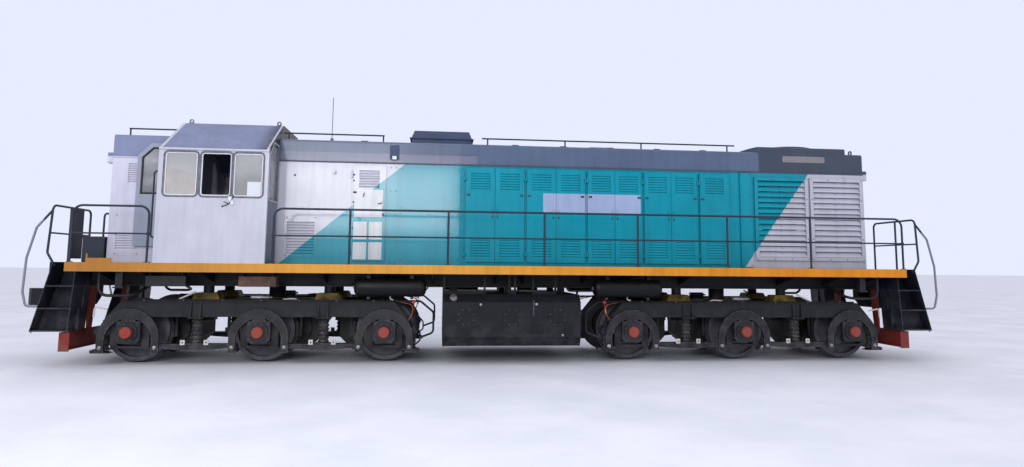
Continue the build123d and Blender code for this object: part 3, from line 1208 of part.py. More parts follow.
def cab_hinge_brackets():
    low, top = CAB_DOOR_LOW - LEAF_LAP, CAB_DOOR_TOP + LEAF_LAP
    shapes = []
    for z in hinge_levels(low, top, CAB_HINGE_SHARES):
        a, b = z - KNUCKLE, z - RUNNING_GAP
        shapes.append(rod((CAB_HINGE_X, CAB_HINGE_Y, a), (CAB_HINGE_X, CAB_HINGE_Y, b), HINGE_DIAMETER))
        shapes.append(block(CAB_FRONT_X - LAP, CAB_HINGE_X, CAB_HINGE_Y - 24, CAB_HINGE_Y, a, b))
    return shapes


# Handrails
BEND = 150.0
LONG_RAIL_X0 = CAB_FRONT_X + 120
LONG_RAIL_X1 = SILL_HALF_LENGTH - 40
# Posts of the long side rail, from the cab's front
LONG_POSTS = (1380.0, 3050.0, 4730.0, 6410.0, 8070.0, 9650.0)
END_RAIL_X = SILL_HALF_LENGTH + 290
END_RAIL_Y0 = 250.0
END_RAIL_Y1 = STAIR_Y1 - 50


def side_rail(x0, x1, posts):
    """Bent top rail on its two end posts, with a middle rail and upright posts."""
    y = RAIL_Y
    bent = [(x0, y, DECK_TOP), (x0, y, RAIL_TOP), (x1, y, RAIL_TOP), (x1, y, DECK_TOP)]
    shapes = [pipe(bent, TUBE, BEND)]
    shapes.append(rod((x0, y, RAIL_MIDDLE), (x1, y, RAIL_MIDDLE), THIN_TUBE))
    shapes += [rod((x, y, DECK_TOP), (x, y, RAIL_TOP), TUBE) for x in posts]
    return fused(shapes)


def end_rail(steps):
    """Rail across the platform's end, with the bowed rail that follows the stair down."""
    x, y0, y1 = END_RAIL_X, END_RAIL_Y0, END_RAIL_Y1
    top = pipe([(x, y0, DECK_TOP), (x, y0, RAIL_TOP), (x, y1, RAIL_TOP), (x + 40, y1, DECK_TOP + 150),
                (STAIR_TOP_X - 5, y1, DECK_TOP - 60)], TUBE, 90)
    middle = rod((x, y0, RAIL_MIDDLE), (x + 25, y1, RAIL_MIDDLE), THIN_TUBE)
    post = rod((x, BEAM_Y - 30, DECK_TOP), (x, BEAM_Y - 30, RAIL_TOP), TUBE)
    z = DECK_TOP
    slant = (STAIR_FOOT_X - STAIR_TOP_X) / TREADS[-1][0]
    end = STAIR_TOP_X + slant * 720 - 6
    bow = pipe([(x, y1, z + 850), (x + 230, y1, z + 560), (x + 350, y1, z + 60), (x + 370, y1, z - 480),
                (x + 310, y1, z - 720), (end, y1, z - 720)], TUBE, 70)
    return fused([top, middle, post, bow]) - steps


def roof_rail(x0, x1, posts, y, height):
    """Low grab rail along a roof, on short posts."""
    z = HOOD_EDGE + height
    foot = HOOD_EDGE + HOOD_CROWN * 0.35
    shapes = [rod((x0, y, z), (x1, y, z), THIN_TUBE)]
    shapes += [rod((x, y, foot), (x, y, z), THIN_TUBE) for x in posts]
    return fused(shapes) - hood_prism(x0 - 50, x1 + 50, 0, HOOD_EDGE - 100)


def door_rail():
    """Grab rail on the cab's front wall, between the door and the corner."""
    x, y = CAB_FRONT_X, (BAY_Y1 + LEAF_LAP + CAB_HALF_WIDTH) / 2
    low, high = CAB_FLOOR + 150, CAB_FLOOR + 1250
    return pipe([(x, y, low), (x + 70, y, low), (x + 70, y, high), (x, y, high)], THIN_TUBE, 40)


ROOF_RAIL_Y = HOOD_HALF_WIDTH - 230
ROOF_RAIL_RISE = 150.0


def handrails(steps):
    """Side, end, roof and door rails; one end rail carries a screen at the cab end."""
    shapes = both_sides([side_rail(LONG_RAIL_X0, LONG_RAIL_X1, [CAB_FRONT_X + dx for dx in LONG_POSTS])])
    shapes += both_sides([side_rail(-LONG_RAIL_X1 + 20, CAB_BACK_X - 100, [])])
    front = end_rail(steps)
    ends = both_sides([front])
    shapes += ends + [other_end(s) for s in ends[:1]]
    panel_x = -END_RAIL_X
    screen = block(panel_x, panel_x + 12, -BEAM_Y + 20, -500, DECK_TOP + 60, RAIL_TOP - 10)
    shapes.append(fused([other_end(ends[1]), screen]))
    rows = (
        (SHORT_HOOD_X + 140, CAB_BACK_X - 20, (SHORT_HOOD_X + 160, CAB_BACK_X - 60)),
        (CAB_FRONT_X + 20, ENGINE_HOOD_X - 300, (CAB_FRONT_X + 110, ENGINE_HOOD_X - 320)),
        (ENGINE_HOOD_X + 1520, RADIATOR_X - 250,
         (ENGINE_HOOD_X + 1630, ENGINE_HOOD_X + 3120, ENGINE_HOOD_X + 4620, RADIATOR_X - 400)),
    )
    for x0, x1, posts in rows:
        shapes += both_sides([roof_rail(x0, x1, posts, ROOF_RAIL_Y, ROOF_RAIL_RISE)])
    grab = door_rail()
    return shapes + [grab, turned(grab, 180, CAB_MIDDLE_X, 0)]


os.makedirs("parts", exist_ok=True)

bogie_nodes("rear", -PIVOT_X, -1)
bogie_nodes("front", PIVOT_X, 1)
save("underframe", underframe())
save("side_sills", *both_sides([side_sill()]))
beam = buffer_beam()
save("buffer_beams", beam, turned(beam, 180, 0, 0))
hook = coupler()
save("couplers", hook, turned(hook, 180, 0, 0))
steps = end_steps()
save("end_steps", *four_corners(steps))
guard = rail_guard()
save("rail_guards", guard, other_end(guard))
save("fuel_tank", fuel_tank())
save("air_reservoirs", *air_reservoirs())
save("handrails", *handrails(steps))
save("short_hood", short_hood())
save("cab_shell", cab_shell())
save("cab_roof", cab_roof())
save("cab_windows", *cab_windows())
save("cab_interior", cab_interior())
save("equipment_hood", equipment_hood())
leaves = engine_leaves()
save("engine_hood", engine_hood(leaves + [FAN_ROOM_LEAF]))
for name, post, way, width in leaves + [FAN_ROOM_LEAF, SWITCHGEAR_LEAF]:
    louvres = LEAF_LOUVRES[:1] if name == "switchgear_door" else LEAF_LOUVRES
    leaf = door_leaf(post, way, width, louvres)
    save(f"{name}_left", leaf)
    save(f"{name}_right", other_side(leaf))
save("radiator_hood", radiator_hood())
save("radiator_shutters", *both_sides([shutter(*bay) for bay in SHUTTER_BAYS]))
save("cooling_fan", fan())
save("fan_gearbox", fan_gearbox())
save("roof_ventilator", roof_ventilator())
save("engine_block", engine_block())

leaf = cab_door_leaf()
save("cab_door_front", leaf)
leaf = turned(leaf, 180, CAB_MIDDLE_X, 0)
back_hinge_x = CAB_BACK_X - (CAB_HINGE_X - CAB_FRONT_X)
save("cab_door_back", turned(leaf, -90, back_hinge_x, -CAB_HINGE_Y))
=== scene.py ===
"""Looks of the diesel shunting locomotive: materials, small fittings, camera and light.

Metres, in the CAD's own frame: +X runs to the radiator end, +Z is up, and the side in the
photograph faces -Y. Most fittings are placed from the boxes of the CAD nodes that carry them.
"""
import math

import bmesh
import bpy
from mathutils import Matrix, Vector

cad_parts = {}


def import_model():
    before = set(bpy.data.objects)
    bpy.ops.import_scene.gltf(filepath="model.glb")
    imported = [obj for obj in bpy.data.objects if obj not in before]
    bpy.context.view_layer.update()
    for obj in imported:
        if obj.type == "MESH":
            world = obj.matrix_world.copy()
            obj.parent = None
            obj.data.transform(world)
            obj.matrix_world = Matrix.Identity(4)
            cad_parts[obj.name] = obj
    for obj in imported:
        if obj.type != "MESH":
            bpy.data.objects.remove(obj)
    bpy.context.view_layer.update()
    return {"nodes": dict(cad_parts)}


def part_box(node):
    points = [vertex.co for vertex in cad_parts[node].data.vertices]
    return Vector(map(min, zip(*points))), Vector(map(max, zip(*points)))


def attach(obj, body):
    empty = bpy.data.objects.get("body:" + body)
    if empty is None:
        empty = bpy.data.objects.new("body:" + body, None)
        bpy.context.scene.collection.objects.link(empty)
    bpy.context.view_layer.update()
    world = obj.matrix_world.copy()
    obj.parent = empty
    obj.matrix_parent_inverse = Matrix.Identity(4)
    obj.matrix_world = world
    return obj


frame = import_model()
ROOT = "locomotive"
SIDES = (-1, 1)
SIDE_WORDS = ((1, "left"), (-1, "right"))

# Levels and lengths, most of them read from the frame
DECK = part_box("engine_block")[0].z
GUTTER = DECK + 1.86
HOOD_EDGE = DECK + 2.25
CROWN = 0.04
HOOD_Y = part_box("radiator_shutters")[1].y - 0.03
LEAF_FACE_Y = HOOD_Y + 0.031
CAB_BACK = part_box("cab_interior")[0].x - 0.05
CAB_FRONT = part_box("cab_interior")[1].x + 0.05
CAB_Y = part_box("cab_roof")[1].y
CAB_FLOOR = DECK + 0.27
ENGINE_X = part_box("engine_hood")[0].x
RADIATOR_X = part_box("radiator_shutters")[0].x - 0.02
SHORT_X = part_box("side_sills")[0].x + 0.31
LONG_END_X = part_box("side_sills")[1].x - 0.32
CAP_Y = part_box("axleboxes_front")[1].y - 0.055
BEARER_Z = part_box("bogie_frame_front")[1].z - 0.118
FLANGE_HEIGHT = 0.028


def rail(height):
    """Model height of a point that lies this far above the rail top."""
    return FLANGE_HEIGHT + height


AXLE_Z = rail(0.525)
AXLE_STEP = 2.1
FRAME_TOP = rail(1.04)
BOX_FACE_Y = 1.245
# Pivot x of each bogie, and which way its outer end lies
BOGIES = {"bogie_rear": (-4.3, -1), "bogie_front": (4.3, 1)}
# Hinge of the back cab door, whose leaf stands open at rest
BACK_HINGE = (CAB_BACK - 0.041, -0.9)

# Colours, as they look in the photograph, from 0 to 255
SILVER = (190, 191, 205)
SILVER_PALE = (204, 204, 222)
TEAL = (0, 144, 166)
BOARD_TONE = (168, 178, 214)
# Painted shadow tone for the gutter's proud edge
GUTTER_SHADOW = (84, 90, 110)
ROOF = (88, 103, 130)
ROOF_PALE = (120, 130, 164)
BAND = (114, 118, 140)
COWL = (62, 72, 90)
BLACK = (26, 28, 33)
GREASE = (18, 19, 21)
RAIL = (40, 47, 60)
RED = (196, 46, 34)
GUARD = (128, 44, 34)
OIL_YELLOW = (150, 124, 54)
DUST = (112, 108, 108)
RUST = (86, 58, 46)
RUBBER = (20, 21, 24)
WHITE = (222, 224, 232)

# Teal field on the hood sides: x where each edge meets the deck, and metres of x for one of z
STRIPE_EDGES = ((-4.12, 1.187), (4.50, 0.738))
BAND_TOP = GUTTER + 0.165
BAND_END_X = ENGINE_X + 1.43
# Pale blank board on the doors, and the sheet of card held against a side pane
BOARD_X, BOARD_Z = (0.62, 2.48), (2.68, 3.06)
CARD_X, CARD_Z = (-4.52, -4.30), (2.83, 3.08)
# Rusty box slung under the front end of the cab
SLUNG_BOX_X, SLUNG_BOX_Z = (-4.63, -4.0), (1.31, 1.5)


def linear(colour):
    """Linear RGBA of a colour given as it looks on screen."""
    shares = [c / 255 for c in colour]
    return [s / 12.92 if s <= 0.04045 else ((s + 0.055) / 1.055) ** 2.4 for s in shares] + [1.0]


class Shader:
    """One material's nodes, with short calls for what the paints share."""

    def __init__(self, name):
        self.material = bpy.data.materials.new(name)
        self.material.use_nodes = True
        self.tree = self.material.node_tree
        self.tree.nodes.clear()
        self.surface = self.node("ShaderNodeBsdfPrincipled")
        self.join(self.surface.outputs[0], self.node("ShaderNodeOutputMaterial").inputs[0])
        self.place = self.node("ShaderNodeTexCoord").outputs["Object"]
        axes = self.node("ShaderNodeSeparateXYZ")
        self.join(self.place, axes.inputs[0])
        self.x, self.y, self.z = axes.outputs

    def node(self, kind):
        return self.tree.nodes.new(kind)

    def join(self, source, target):
        """Link a socket, or write a plain value into the target; colours are given as they look."""
        if isinstance(source, bpy.types.NodeSocket):
            self.tree.links.new(source, target)
        else:
            target.default_value = linear(source) if isinstance(source, tuple) else source

    def math(self, operation, a, b=0.0):
        node = self.node("ShaderNodeMath")
        node.operation = operation
        self.join(a, node.inputs[0])
        self.join(b, node.inputs[1])
        return node.outputs[0]

    def times(self, product, *others):
        """Product of two or more values."""
        for other in others:
            product = self.math("MULTIPLY", product, other)
        return product

    def rest(self, share):
        """What a share leaves of 1."""
        return self.math("SUBTRACT", 1.0, share)

    def above(self, value, limit):
        """1 where a value is over a limit."""
        return self.math("GREATER_THAN", value, limit)

    def below(self, value, limit):
        """1 where a value is under a limit."""
        return self.math("LESS_THAN", value, limit)

    def between(self, value, low, high):
        """1 where a value lies in a range."""
        return self.times(self.above(value, low), self.below(value, high))

    def across(self):
        """Distance from the vehicle's middle plane."""
        return self.math("ABSOLUTE", self.y)

    def ease(self, value, low, high, to_low=0.0, to_high=1.0):
        """Value mapped from low..high to to_low..to_high, held at the ends."""
        node = self.node("ShaderNodeMapRange")
        node.interpolation_type = "SMOOTHSTEP"
        for number, source in enumerate((value, low, high, to_low, to_high)):
            self.join(source, node.inputs[number])
        return node.outputs[0]

    def noise(self, scale, detail=3.0, stretch=(1, 1, 1)):
        node = self.node("ShaderNodeTexNoise")
        node.inputs["Scale"].default_value = scale
        node.inputs["Detail"].default_value = detail
        node.inputs["Roughness"].default_value = 0.55
        mapping = self.node("ShaderNodeMapping")
        mapping.inputs["Scale"].default_value = stretch
        self.join(self.place, mapping.inputs[0])
        self.join(mapping.outputs[0], node.inputs["Vector"])
        return node.outputs[0]

    def clouds(self, scale, detail, low=0.0, high=1.0):
        """Soft patches of values from low to high."""
        return self.ease(self.noise(scale, detail), 0.3, 0.7, low, high)

    def mix(self, factor, a, b):
        """Blend of two colours."""
        node = self.node("ShaderNodeMix")
        node.data_type = "RGBA"
        for source, number in ((factor, 0), (a, 6), (b, 7)):
            self.join(source, node.inputs[number])
        return node.outputs[2]

    def darker(self, colour, factor):
        """Colour times a grey factor."""
        grey = self.node("ShaderNodeCombineColor")
        for channel in grey.inputs:
            self.join(factor, channel)
        product = self.mix(1.0, colour, grey.outputs[0])
        product.node.blend_type = "MULTIPLY"
        return product

    def up(self):
        """How far the surface faces up, from -1 to 1."""
        axes = self.node("ShaderNodeSeparateXYZ")
        self.join(self.node("ShaderNodeNewGeometry").outputs["Normal"], axes.inputs[0])
        return axes.outputs[2]

    def edges(self, radius):
        """1 near sharp edges, 0 elsewhere."""
        bevel = self.node("ShaderNodeBevel")
        bevel.samples = 4
        bevel.inputs["Radius"].default_value = radius
        product = self.node("ShaderNodeVectorMath")
        product.operation = "DOT_PRODUCT"
        self.join(bevel.outputs[0], product.inputs[0])
        self.join(self.node("ShaderNodeNewGeometry").outputs["Normal"], product.inputs[1])
        return self.ease(product.outputs["Value"], 0.999, 0.93)

    def painted_hollow_shade(self):
        """Painted shade: darkening of narrow gaps and inner corners, 1 in the open."""
        shade = self.node("ShaderNodeAmbientOcclusion")
        shade.samples = 4
        shade.inputs["Distance"].default_value = 0.05
        return self.ease(shade.outputs["AO"], 0.25, 0.85, 0.5, 1.0)

    def bump(self, *layers):
        """Layers of (height socket, depth in metres) on the surface's normal."""
        normal = None
        for height, depth in layers:
            node = self.node("ShaderNodeBump")
            node.inputs["Distance"].default_value = depth
            self.join(height, node.inputs["Height"])
            if normal is not None:
                self.join(normal, node.inputs["Normal"])
            normal = node.outputs[0]
        self.join(normal, self.surface.inputs["Normal"])

    def finish(self, colour, roughness, metallic=0.0, **sockets):
        sockets = {"Base_Color": colour, "Roughness": roughness, "Metallic": metallic, **sockets}
        for name, value in sockets.items():
            self.join(value, self.surface.inputs[name.replace("_", " ")])
        return self.material


def weathered_and_shaded(shader, colour, dust=0.35, dust_top=1.2, wear=RUST, wear_share=0.25, streaks=0.1, chips=0.006):
    """Paint colour with patches, rain streaks, painted shade in hollows, dust low down and on ledges, and
    worn edges.
    """
    runs = shader.ease(shader.noise(9.0, 3, (1, 1, 0.09)), 0.35, 0.75, 1.0, 1.0 - streaks)
    # Painted shade: the colour is darkened in narrow gaps and inner corners, where shade falls.
    painted = shader.darker(colour, shader.times(shader.clouds(1.7, 4, 0.93, 1.04), runs, shader.painted_hollow_shade()))
    low = shader.ease(shader.z, dust_top, 0.1)
    ledge = shader.ease(shader.up(), 0.6, 1.0, 0.0, 0.5)
    grain = shader.ease(shader.noise(5.0, 6), 0.35, 0.7)
    amount = shader.times(shader.math("MAXIMUM", low, ledge), grain, dust)
    broken = shader.ease(shader.noise(28.0, 4), 0.45, 0.6)
    worn = shader.times(shader.edges(chips), broken, wear_share)
    return shader.mix(worn, shader.mix(amount, painted, DUST), wear), amount


def worked_out(source, shader):
    """A value as it is, or worked out from the shader where it is a function."""
    return source(shader) if callable(source) else source


def dusty_roughness(shader, low, high, dust):
    return shader.math("ADD", shader.clouds(3.0, 4, low, high), shader.times(dust, 0.3))


def paint(name, colour, roughness=0.4, coat=0.0, gloss=0.3, **weather):
    """Painted sheet, a little wavy; colour and coat are values or functions of the shader."""
    shader = Shader(name)
    finished, dust = weathered_and_shaded(shader, worked_out(colour, shader), **weather)
    rough = dusty_roughness(shader, roughness - 0.06, roughness + 0.08, dust)
    dents = (shader.noise(1.1, 2), 0.012)
    ripples = (shader.noise(3.4, 2, (1, 1, 0.22)), 0.0045)
    shader.bump(dents, ripples, (shader.noise(240.0, 2), 0.0003))
    return shader.finish(finished, rough, Coat_Weight=worked_out(coat, shader), Coat_Roughness=0.12,
                         Specular_IOR_Level=gloss)


def livery(shader):
    """Teal between two slanting edges on silver, a pale blank board, grey from the gutter up, and a painted
    shadow on the gutter's edge.
    """
    height = shader.math("SUBTRACT", shader.z, DECK)
    left, right = (shader.math("ADD", shader.times(height, slope), foot) for foot, slope in STRIPE_EDGES)
    field = shader.times(shader.above(shader.x, left), shader.above(right, shader.x))
    board = shader.times(shader.between(shader.x, *BOARD_X), shader.between(shader.z, *BOARD_Z), 0.86)
    body = shader.mix(board, shader.mix(field, SILVER, TEAL), BOARD_TONE)
    past_band = shader.math("MAXIMUM", shader.above(shader.z, BAND_TOP), shader.above(shader.x, BAND_END_X))
    cowl = shader.ease(shader.x, RADIATOR_X + 0.10, RADIATOR_X + 0.16)
    roof = shader.mix(cowl, shader.mix(past_band, BAND, ROOF), COWL)
    whole = shader.mix(shader.above(shader.z, GUTTER), body, roof)
    # Painted shadow: the gutter's proud edge is painted dark, as the shade under it
    ledge = shader.times(shader.between(shader.z, GUTTER - 0.025, GUTTER + 0.03),
                         shader.above(shader.across(), HOOD_Y + 0.004))
    return shader.mix(ledge, whole, GUTTER_SHADOW)


def hood_coat(shader):
    """Newer, smoother paint on the plain panels ahead of the first door."""
    return shader.ease(shader.x, ENGINE_X + 1.16, ENGINE_X + 1.06, 0.06, 1.0)


def end_livery(shader):
    """Silver, and pale grey from the gutter up."""
    return shader.mix(shader.above(shader.z, GUTTER), SILVER_PALE, ROOF_PALE)


def cab_roof_tones(shader):
    """Pale grey, with soot at the end towards the engine."""
    near = shader.ease(shader.x, CAB_FRONT - 0.35, CAB_FRONT + 0.05)
    dark_patches = shader.times(near, shader.ease(shader.noise(2.2, 5), 0.3, 0.55))
    return shader.mix(dark_patches, ROOF_PALE, (46, 52, 76))


def cab_walls(shader):
    """Silver side and back walls; painted shade in grey-green on the front one, darker in patches up under
    its eave.
    """
    # Painted shade: the front wall faces away from the light and is painted darker than the silver
    front = shader.times(shader.above(shader.x, CAB_FRONT - 0.02),
                         shader.rest(shader.above(shader.across(), CAB_Y - 0.06)))
    # Dark noisy patches growing towards the top of the front wall, under the eave
    dark_patches = shader.times(shader.ease(shader.z, DECK + 0.9, DECK + 1.7),
                        shader.ease(shader.noise(2.2, 5), 0.2, 0.5))
    return shader.mix(front, SILVER, shader.mix(dark_patches, (82, 96, 118), (22, 30, 48)))


def sill_yellow(shader):
    """Orange-yellow, duller towards the cab end."""
    left = shader.mix(shader.ease(shader.x, -7.3, -3.0), (172, 114, 44), (214, 150, 50))
    return shader.mix(shader.ease(shader.x, -2.0, 6.0), left, (218, 134, 10))


def rail_tones(shader):
    """Dark rails, with pale bows round the end stairs."""
    return shader.mix(shader.above(shader.math("ABSOLUTE", shader.x), 7.72), RAIL, (128, 132, 144))


def red_caps(shader):
    """Dark castings with red ends on the axle covers."""
    return shader.mix(shader.above(shader.across(), CAP_Y), (34, 35, 42), (150, 60, 46))


def oil_boxes(shader):
    """Dark frame with yellow bearer boxes on top of it."""
    boxes = shader.times(shader.below(shader.across(), 0.78), shader.above(shader.z, BEARER_Z))
    return shader.mix(boxes, BLACK, shader.mix(shader.clouds(7.0, 5), OIL_YELLOW, (74, 62, 36)))


def under_colours(shader):
    """Black frame and deck, a grey locker at the cab end and a rusty box slung under the cab."""
    locker = shader.times(shader.below(shader.x, SHORT_X), shader.above(shader.z, DECK + 0.01))
    slung = shader.times(shader.between(shader.x, *SLUNG_BOX_X), shader.between(shader.z, *SLUNG_BOX_Z),
                         shader.above(shader.across(), 0.95))
    rusty = shader.mix(shader.clouds(9.0, 5), (96, 66, 50), (60, 46, 40))
    return shader.mix(slung, shader.mix(locker, BLACK, (46, 54, 66)), rusty)


def chequer(shader):
    """Raised lozenges of tread plate on the deck and the steps, 0 elsewhere."""
    waves = [shader.math("SINE", shader.times(shader.math(way, shader.x, shader.y), 105.0))
             for way in ("ADD", "SUBTRACT")]
    lozenge = shader.ease(shader.times(*waves), 0.45, 0.75)
    return shader.times(lozenge, shader.ease(shader.up(), 0.9, 0.98), shader.above(shader.z, DECK - 1.2))


def tread_plate(name, colour, bright=0.5):
    """Black paint over tread plate, rubbed bright at the edges."""
    shader = Shader(name)
    finished, dust = weathered_and_shaded(shader, worked_out(colour, shader), 0.4, 1.7, (132, 136, 146), bright)
    shader.bump((chequer(shader), 0.003), (shader.noise(90.0, 3), 0.0005))
    return shader.finish(finished, dusty_roughness(shader, 0.46, 0.62, dust), Specular_IOR_Level=0.3)


def tread_steel():
    """Wheel: bright tread, dusty brown sides."""
    shader = Shader("wheel_steel")
    off_tread = shader.math("ABSOLUTE", shader.math("SUBTRACT", shader.across(), 0.79))
    sides = shader.mix(shader.clouds(6.0, 6), (50, 50, 60), (82, 80, 92))
    colour = shader.mix(shader.ease(off_tread, 0.075, 0.055, 0.0, 0.15), sides, (150, 150, 150))
    shader.bump((shader.noise(60.0, 4), 0.001))
    return shader.finish(colour, shader.clouds(9.0, 3, 0.5, 0.62), 0.4)


def see_through(shader, cover):
    """Let light through where no film covers the pane."""
    shader.join(shader.rest(cover), shader.surface.inputs["Transmission Weight"])
    shader.join(1.45, shader.surface.inputs["IOR"])
    shader.bump((shader.noise(1.6, 2), 0.004))


def glass():
    """Window glass: the cab's back panes hold more dust, and a sheet of card leans on a side pane."""
    shader = Shader("cab_glass")
    film = shader.ease(shader.noise(2.5, 5), 0.35, 0.7, 0.0, 0.2)
    near, far = CAB_BACK + 0.60, CAB_BACK + 0.66
    low = shader.mix(shader.ease(shader.x, near, far), (206, 194, 186), (126, 116, 116))
    hazy = shader.mix(shader.ease(shader.z, DECK + 1.2, DECK + 1.8), low, (142, 138, 144))
    card = shader.times(shader.between(shader.x, *CARD_X), shader.between(shader.z, *CARD_Z),
                        shader.below(shader.y, 0.0))
    dust = shader.math("ADD", shader.ease(shader.x, far, near, 0.44, 0.62), film)
    cover = shader.math("MAXIMUM", dust, card)
    see_through(shader, cover)
    tone = shader.mix(cover, (226, 234, 236), shader.mix(card, hazy, (212, 216, 224)))
    return shader.finish(tone, shader.clouds(6.0, 3, 0.03, 0.09))


def door_paint():
    """Cab door: painted leaf round a pane of glass, one leaf shut and one swung open."""
    shader = Shader("cab_door_paint")
    shut = shader.times(shader.between(shader.x, CAB_FRONT + 0.0145, CAB_FRONT + 0.0235),
                        shader.between(shader.y, 0.994, 1.371))
    swung = shader.times(shader.between(shader.y, -0.9265, -0.9175),
                         shader.between(shader.x, BACK_HINGE[0] - 0.471, BACK_HINGE[0] - 0.094))
    clear = shader.times(shader.math("MAXIMUM", shut, swung), shader.above(shader.z, DECK + 1.209))
    film = shader.ease(shader.noise(2.5, 5), 0.35, 0.7, 0.25, 0.5)
    see_through(shader, shader.rest(shader.times(clear, shader.rest(film))))
    finished = weathered_and_shaded(shader, (150, 158, 178), 0.25, 2.2)[0]
    rough = shader.times(shader.clouds(3.0, 4, 0.34, 0.48), shader.ease(clear, 0.0, 1.0, 1.0, 0.2))
    return shader.finish(shader.mix(clear, finished, (206, 212, 216)), rough)


def plain(name, first, second, scale, roughness, metallic=0.0, **sockets):
    """Two mixed tones with a fine bump."""
    shader = Shader(name)
    shader.bump((shader.noise(scale * 7, 3), 0.0005))
    rough = shader.clouds(scale / 2, 3, roughness - 0.05, roughness + 0.07)
    return shader.finish(shader.mix(shader.clouds(scale, 4), first, second), rough, metallic, **sockets)


def leather():
    """Creased dark seat cover."""
    shader = Shader("seat_leather")
    shader.bump((shader.noise(22.0, 6), 0.004), (shader.noise(300.0, 3), 0.0006))
    tone = shader.mix(shader.clouds(9.0, 5), (58, 46, 40), (84, 68, 56))
    return shader.finish(tone, shader.clouds(12.0, 3, 0.42, 0.6))


MATERIALS = {
    "hood": paint("hood_paint", livery, 0.36, hood_coat, 0.2, dust_top=2.0, dust=0.12, wear_share=0.15),
    "ends": paint("end_paint", end_livery, 0.38, 0.2, dust_top=2.1, dust=0.2),
    "cab": paint("cab_paint", cab_walls, 0.36, 0.25, dust_top=2.2, dust=0.2),
    "door": door_paint(),
    "roof": paint("roof_paint", (62, 76, 108), 0.5, dust_top=2.0, dust=0.2),
    "pale": paint("pale_paint", (206, 212, 216), 0.34, 0.6, dust_top=2.0, dust=0.15, streaks=0.2),
    "faded": paint("faded_plate", (134, 130, 138), 0.5, dust_top=2.0, dust=0.1),
    "cab_roof": paint("cab_roof_paint", cab_roof_tones, 0.46, dust_top=2.0, dust=0.2),
    "sill": paint("sill_paint", sill_yellow, 0.42, dust_top=1.72, dust=0.25, wear=(120, 78, 34),
                  streaks=0.16),
    "black": paint("frame_paint", BLACK, 0.55, gloss=0.25, dust_top=1.7, dust=0.3, wear=(98, 100, 108),
                   wear_share=0.35),
    "under": tread_plate("underframe_paint", under_colours, 0.2),
    "steps": tread_plate("step_paint", (22, 25, 38)),
    "tank": paint("tank_paint", (17, 19, 26), 0.5, gloss=0.25, dust=0.2, wear=(88, 90, 98), wear_share=0.3),
    "drum": paint("reservoir_paint", (8, 10, 14), 0.45, gloss=0.25, dust=0.1),
    "boxes": paint("axlebox_paint", red_caps, 0.5, dust=0.25),
    "bogie": paint("bogie_paint", oil_boxes, 0.55, gloss=0.25, dust_top=1.3, dust=0.25),
    "spring": paint("spring_paint", (30, 31, 36), 0.5, dust_top=1.3, dust=0.3, wear=(140, 138, 140),
                    wear_share=0.8, chips=0.012),
    "rail": paint("handrail_paint", rail_tones, dust_top=1.0, dust=0.1, wear=(140, 144, 152), wear_share=0.4),
    "guard": paint("guard_paint", GUARD, 0.55, dust_top=0.9, dust=0.3),
    "lining": paint("lining_paint", (116, 124, 132), 0.6, dust=0.1),
    "grease": paint("casting_paint", GREASE, 0.5, dust_top=1.4, dust=0.3),
    "engine": paint("engine_paint", (110, 114, 114), 0.5, dust=0.2),
    "white": paint("white_paint", WHITE, 0.45, dust=0.1),
    "cream": paint("cock_paint", (212, 204, 200), 0.5, dust=0.3),
    "red": paint("red_paint", RED, 0.42, dust=0.2),
    "wheel": tread_steel(),
    "glass": glass(),
    "aged_rubber": plain("aged_rubber", (84, 86, 98), (116, 118, 130), 20.0, 0.6),
    "rubber": plain("rubber", RUBBER, (44, 44, 48), 20.0, 0.7),
    "metal": plain("bare_metal", (120, 120, 124), (168, 168, 172), 14.0, 0.42, 0.85),
    "bolt": plain("dull_steel", (30, 34, 44), (66, 70, 80), 30.0, 0.5),
    "copper": plain("copper_pipe", (146, 82, 54), (178, 108, 72), 16.0, 0.35, 0.9),
    "lens": plain("lamp_lens", (206, 208, 204), (232, 234, 232), 6.0, 0.12, 0.0, Coat_Weight=1.0),
    "leather": leather(),
}

# CAD nodes of each material, by the start of their names
NODE_MATERIALS = {
    "hood": ("equipment_hood", "switchgear_door", "engine_hood", "engine_door", "fan_room_door",
             "radiator_hood", "radiator_shutters"),
    "ends": ("short_hood",), "cab": ("cab_shell",), "cab_roof": ("cab_roof",), "door": ("cab_door",),
    "glass": ("cab_windows",), "lining": ("cab_interior",), "roof": ("roof_ventilator",),
    "engine": ("engine_block", "fan_gearbox"), "metal": ("cooling_fan",), "under": ("underframe",),
    "sill": ("side_sills",), "black": ("buffer_beams",), "steps": ("end_steps",), "guard": ("rail_guards",),
    "rail": ("handrails",), "tank": ("fuel_tank",), "drum": ("air_reservoirs",), "wheel": ("wheelset",),
    "boxes": ("axleboxes",), "bogie": ("bogie_frame",), "spring": ("spring_gear",),
    "grease": ("brake_gear", "traction_motors", "couplers"),
}
for node_name, node in frame["nodes"].items():
    node_key = next(key for key, starts in NODE_MATERIALS.items() if node_name.startswith(starts))
    node.data.materials.clear()
    node.data.materials.append(MATERIALS[node_key])

# Slot of the record that each fitting's material belongs to
SLOTS = {
    "bolt": "wheel_steel", "metal": "wheel_steel", "copper": "wheel_steel", "rubber": "cast_black",
    "aged_rubber": "cast_black", "grease": "cast_black", "white": "silver_paint", "pale": "silver_paint",
    "cream": "silver_paint", "faded": "silver_paint", "rail": "rail_dark", "roof": "roof_grey",
    "lens": "glass", "red": "guard_red", "leather": "cab_lining",
}


# Shapes of the small fittings

def facing(place, out):
    """Matrix with its third axis outward and its second one up, or along Y where outward is up."""
    out = Vector(out).normalized()
    up = Vector((0, 1, 0)) if abs(out.z) > 0.9 else Vector((0, 0, 1))
    across = up.cross(out).normalized()
    turn = Matrix((across, out.cross(across), out)).transposed().to_4x4()
    return Matrix.Translation(place) @ turn


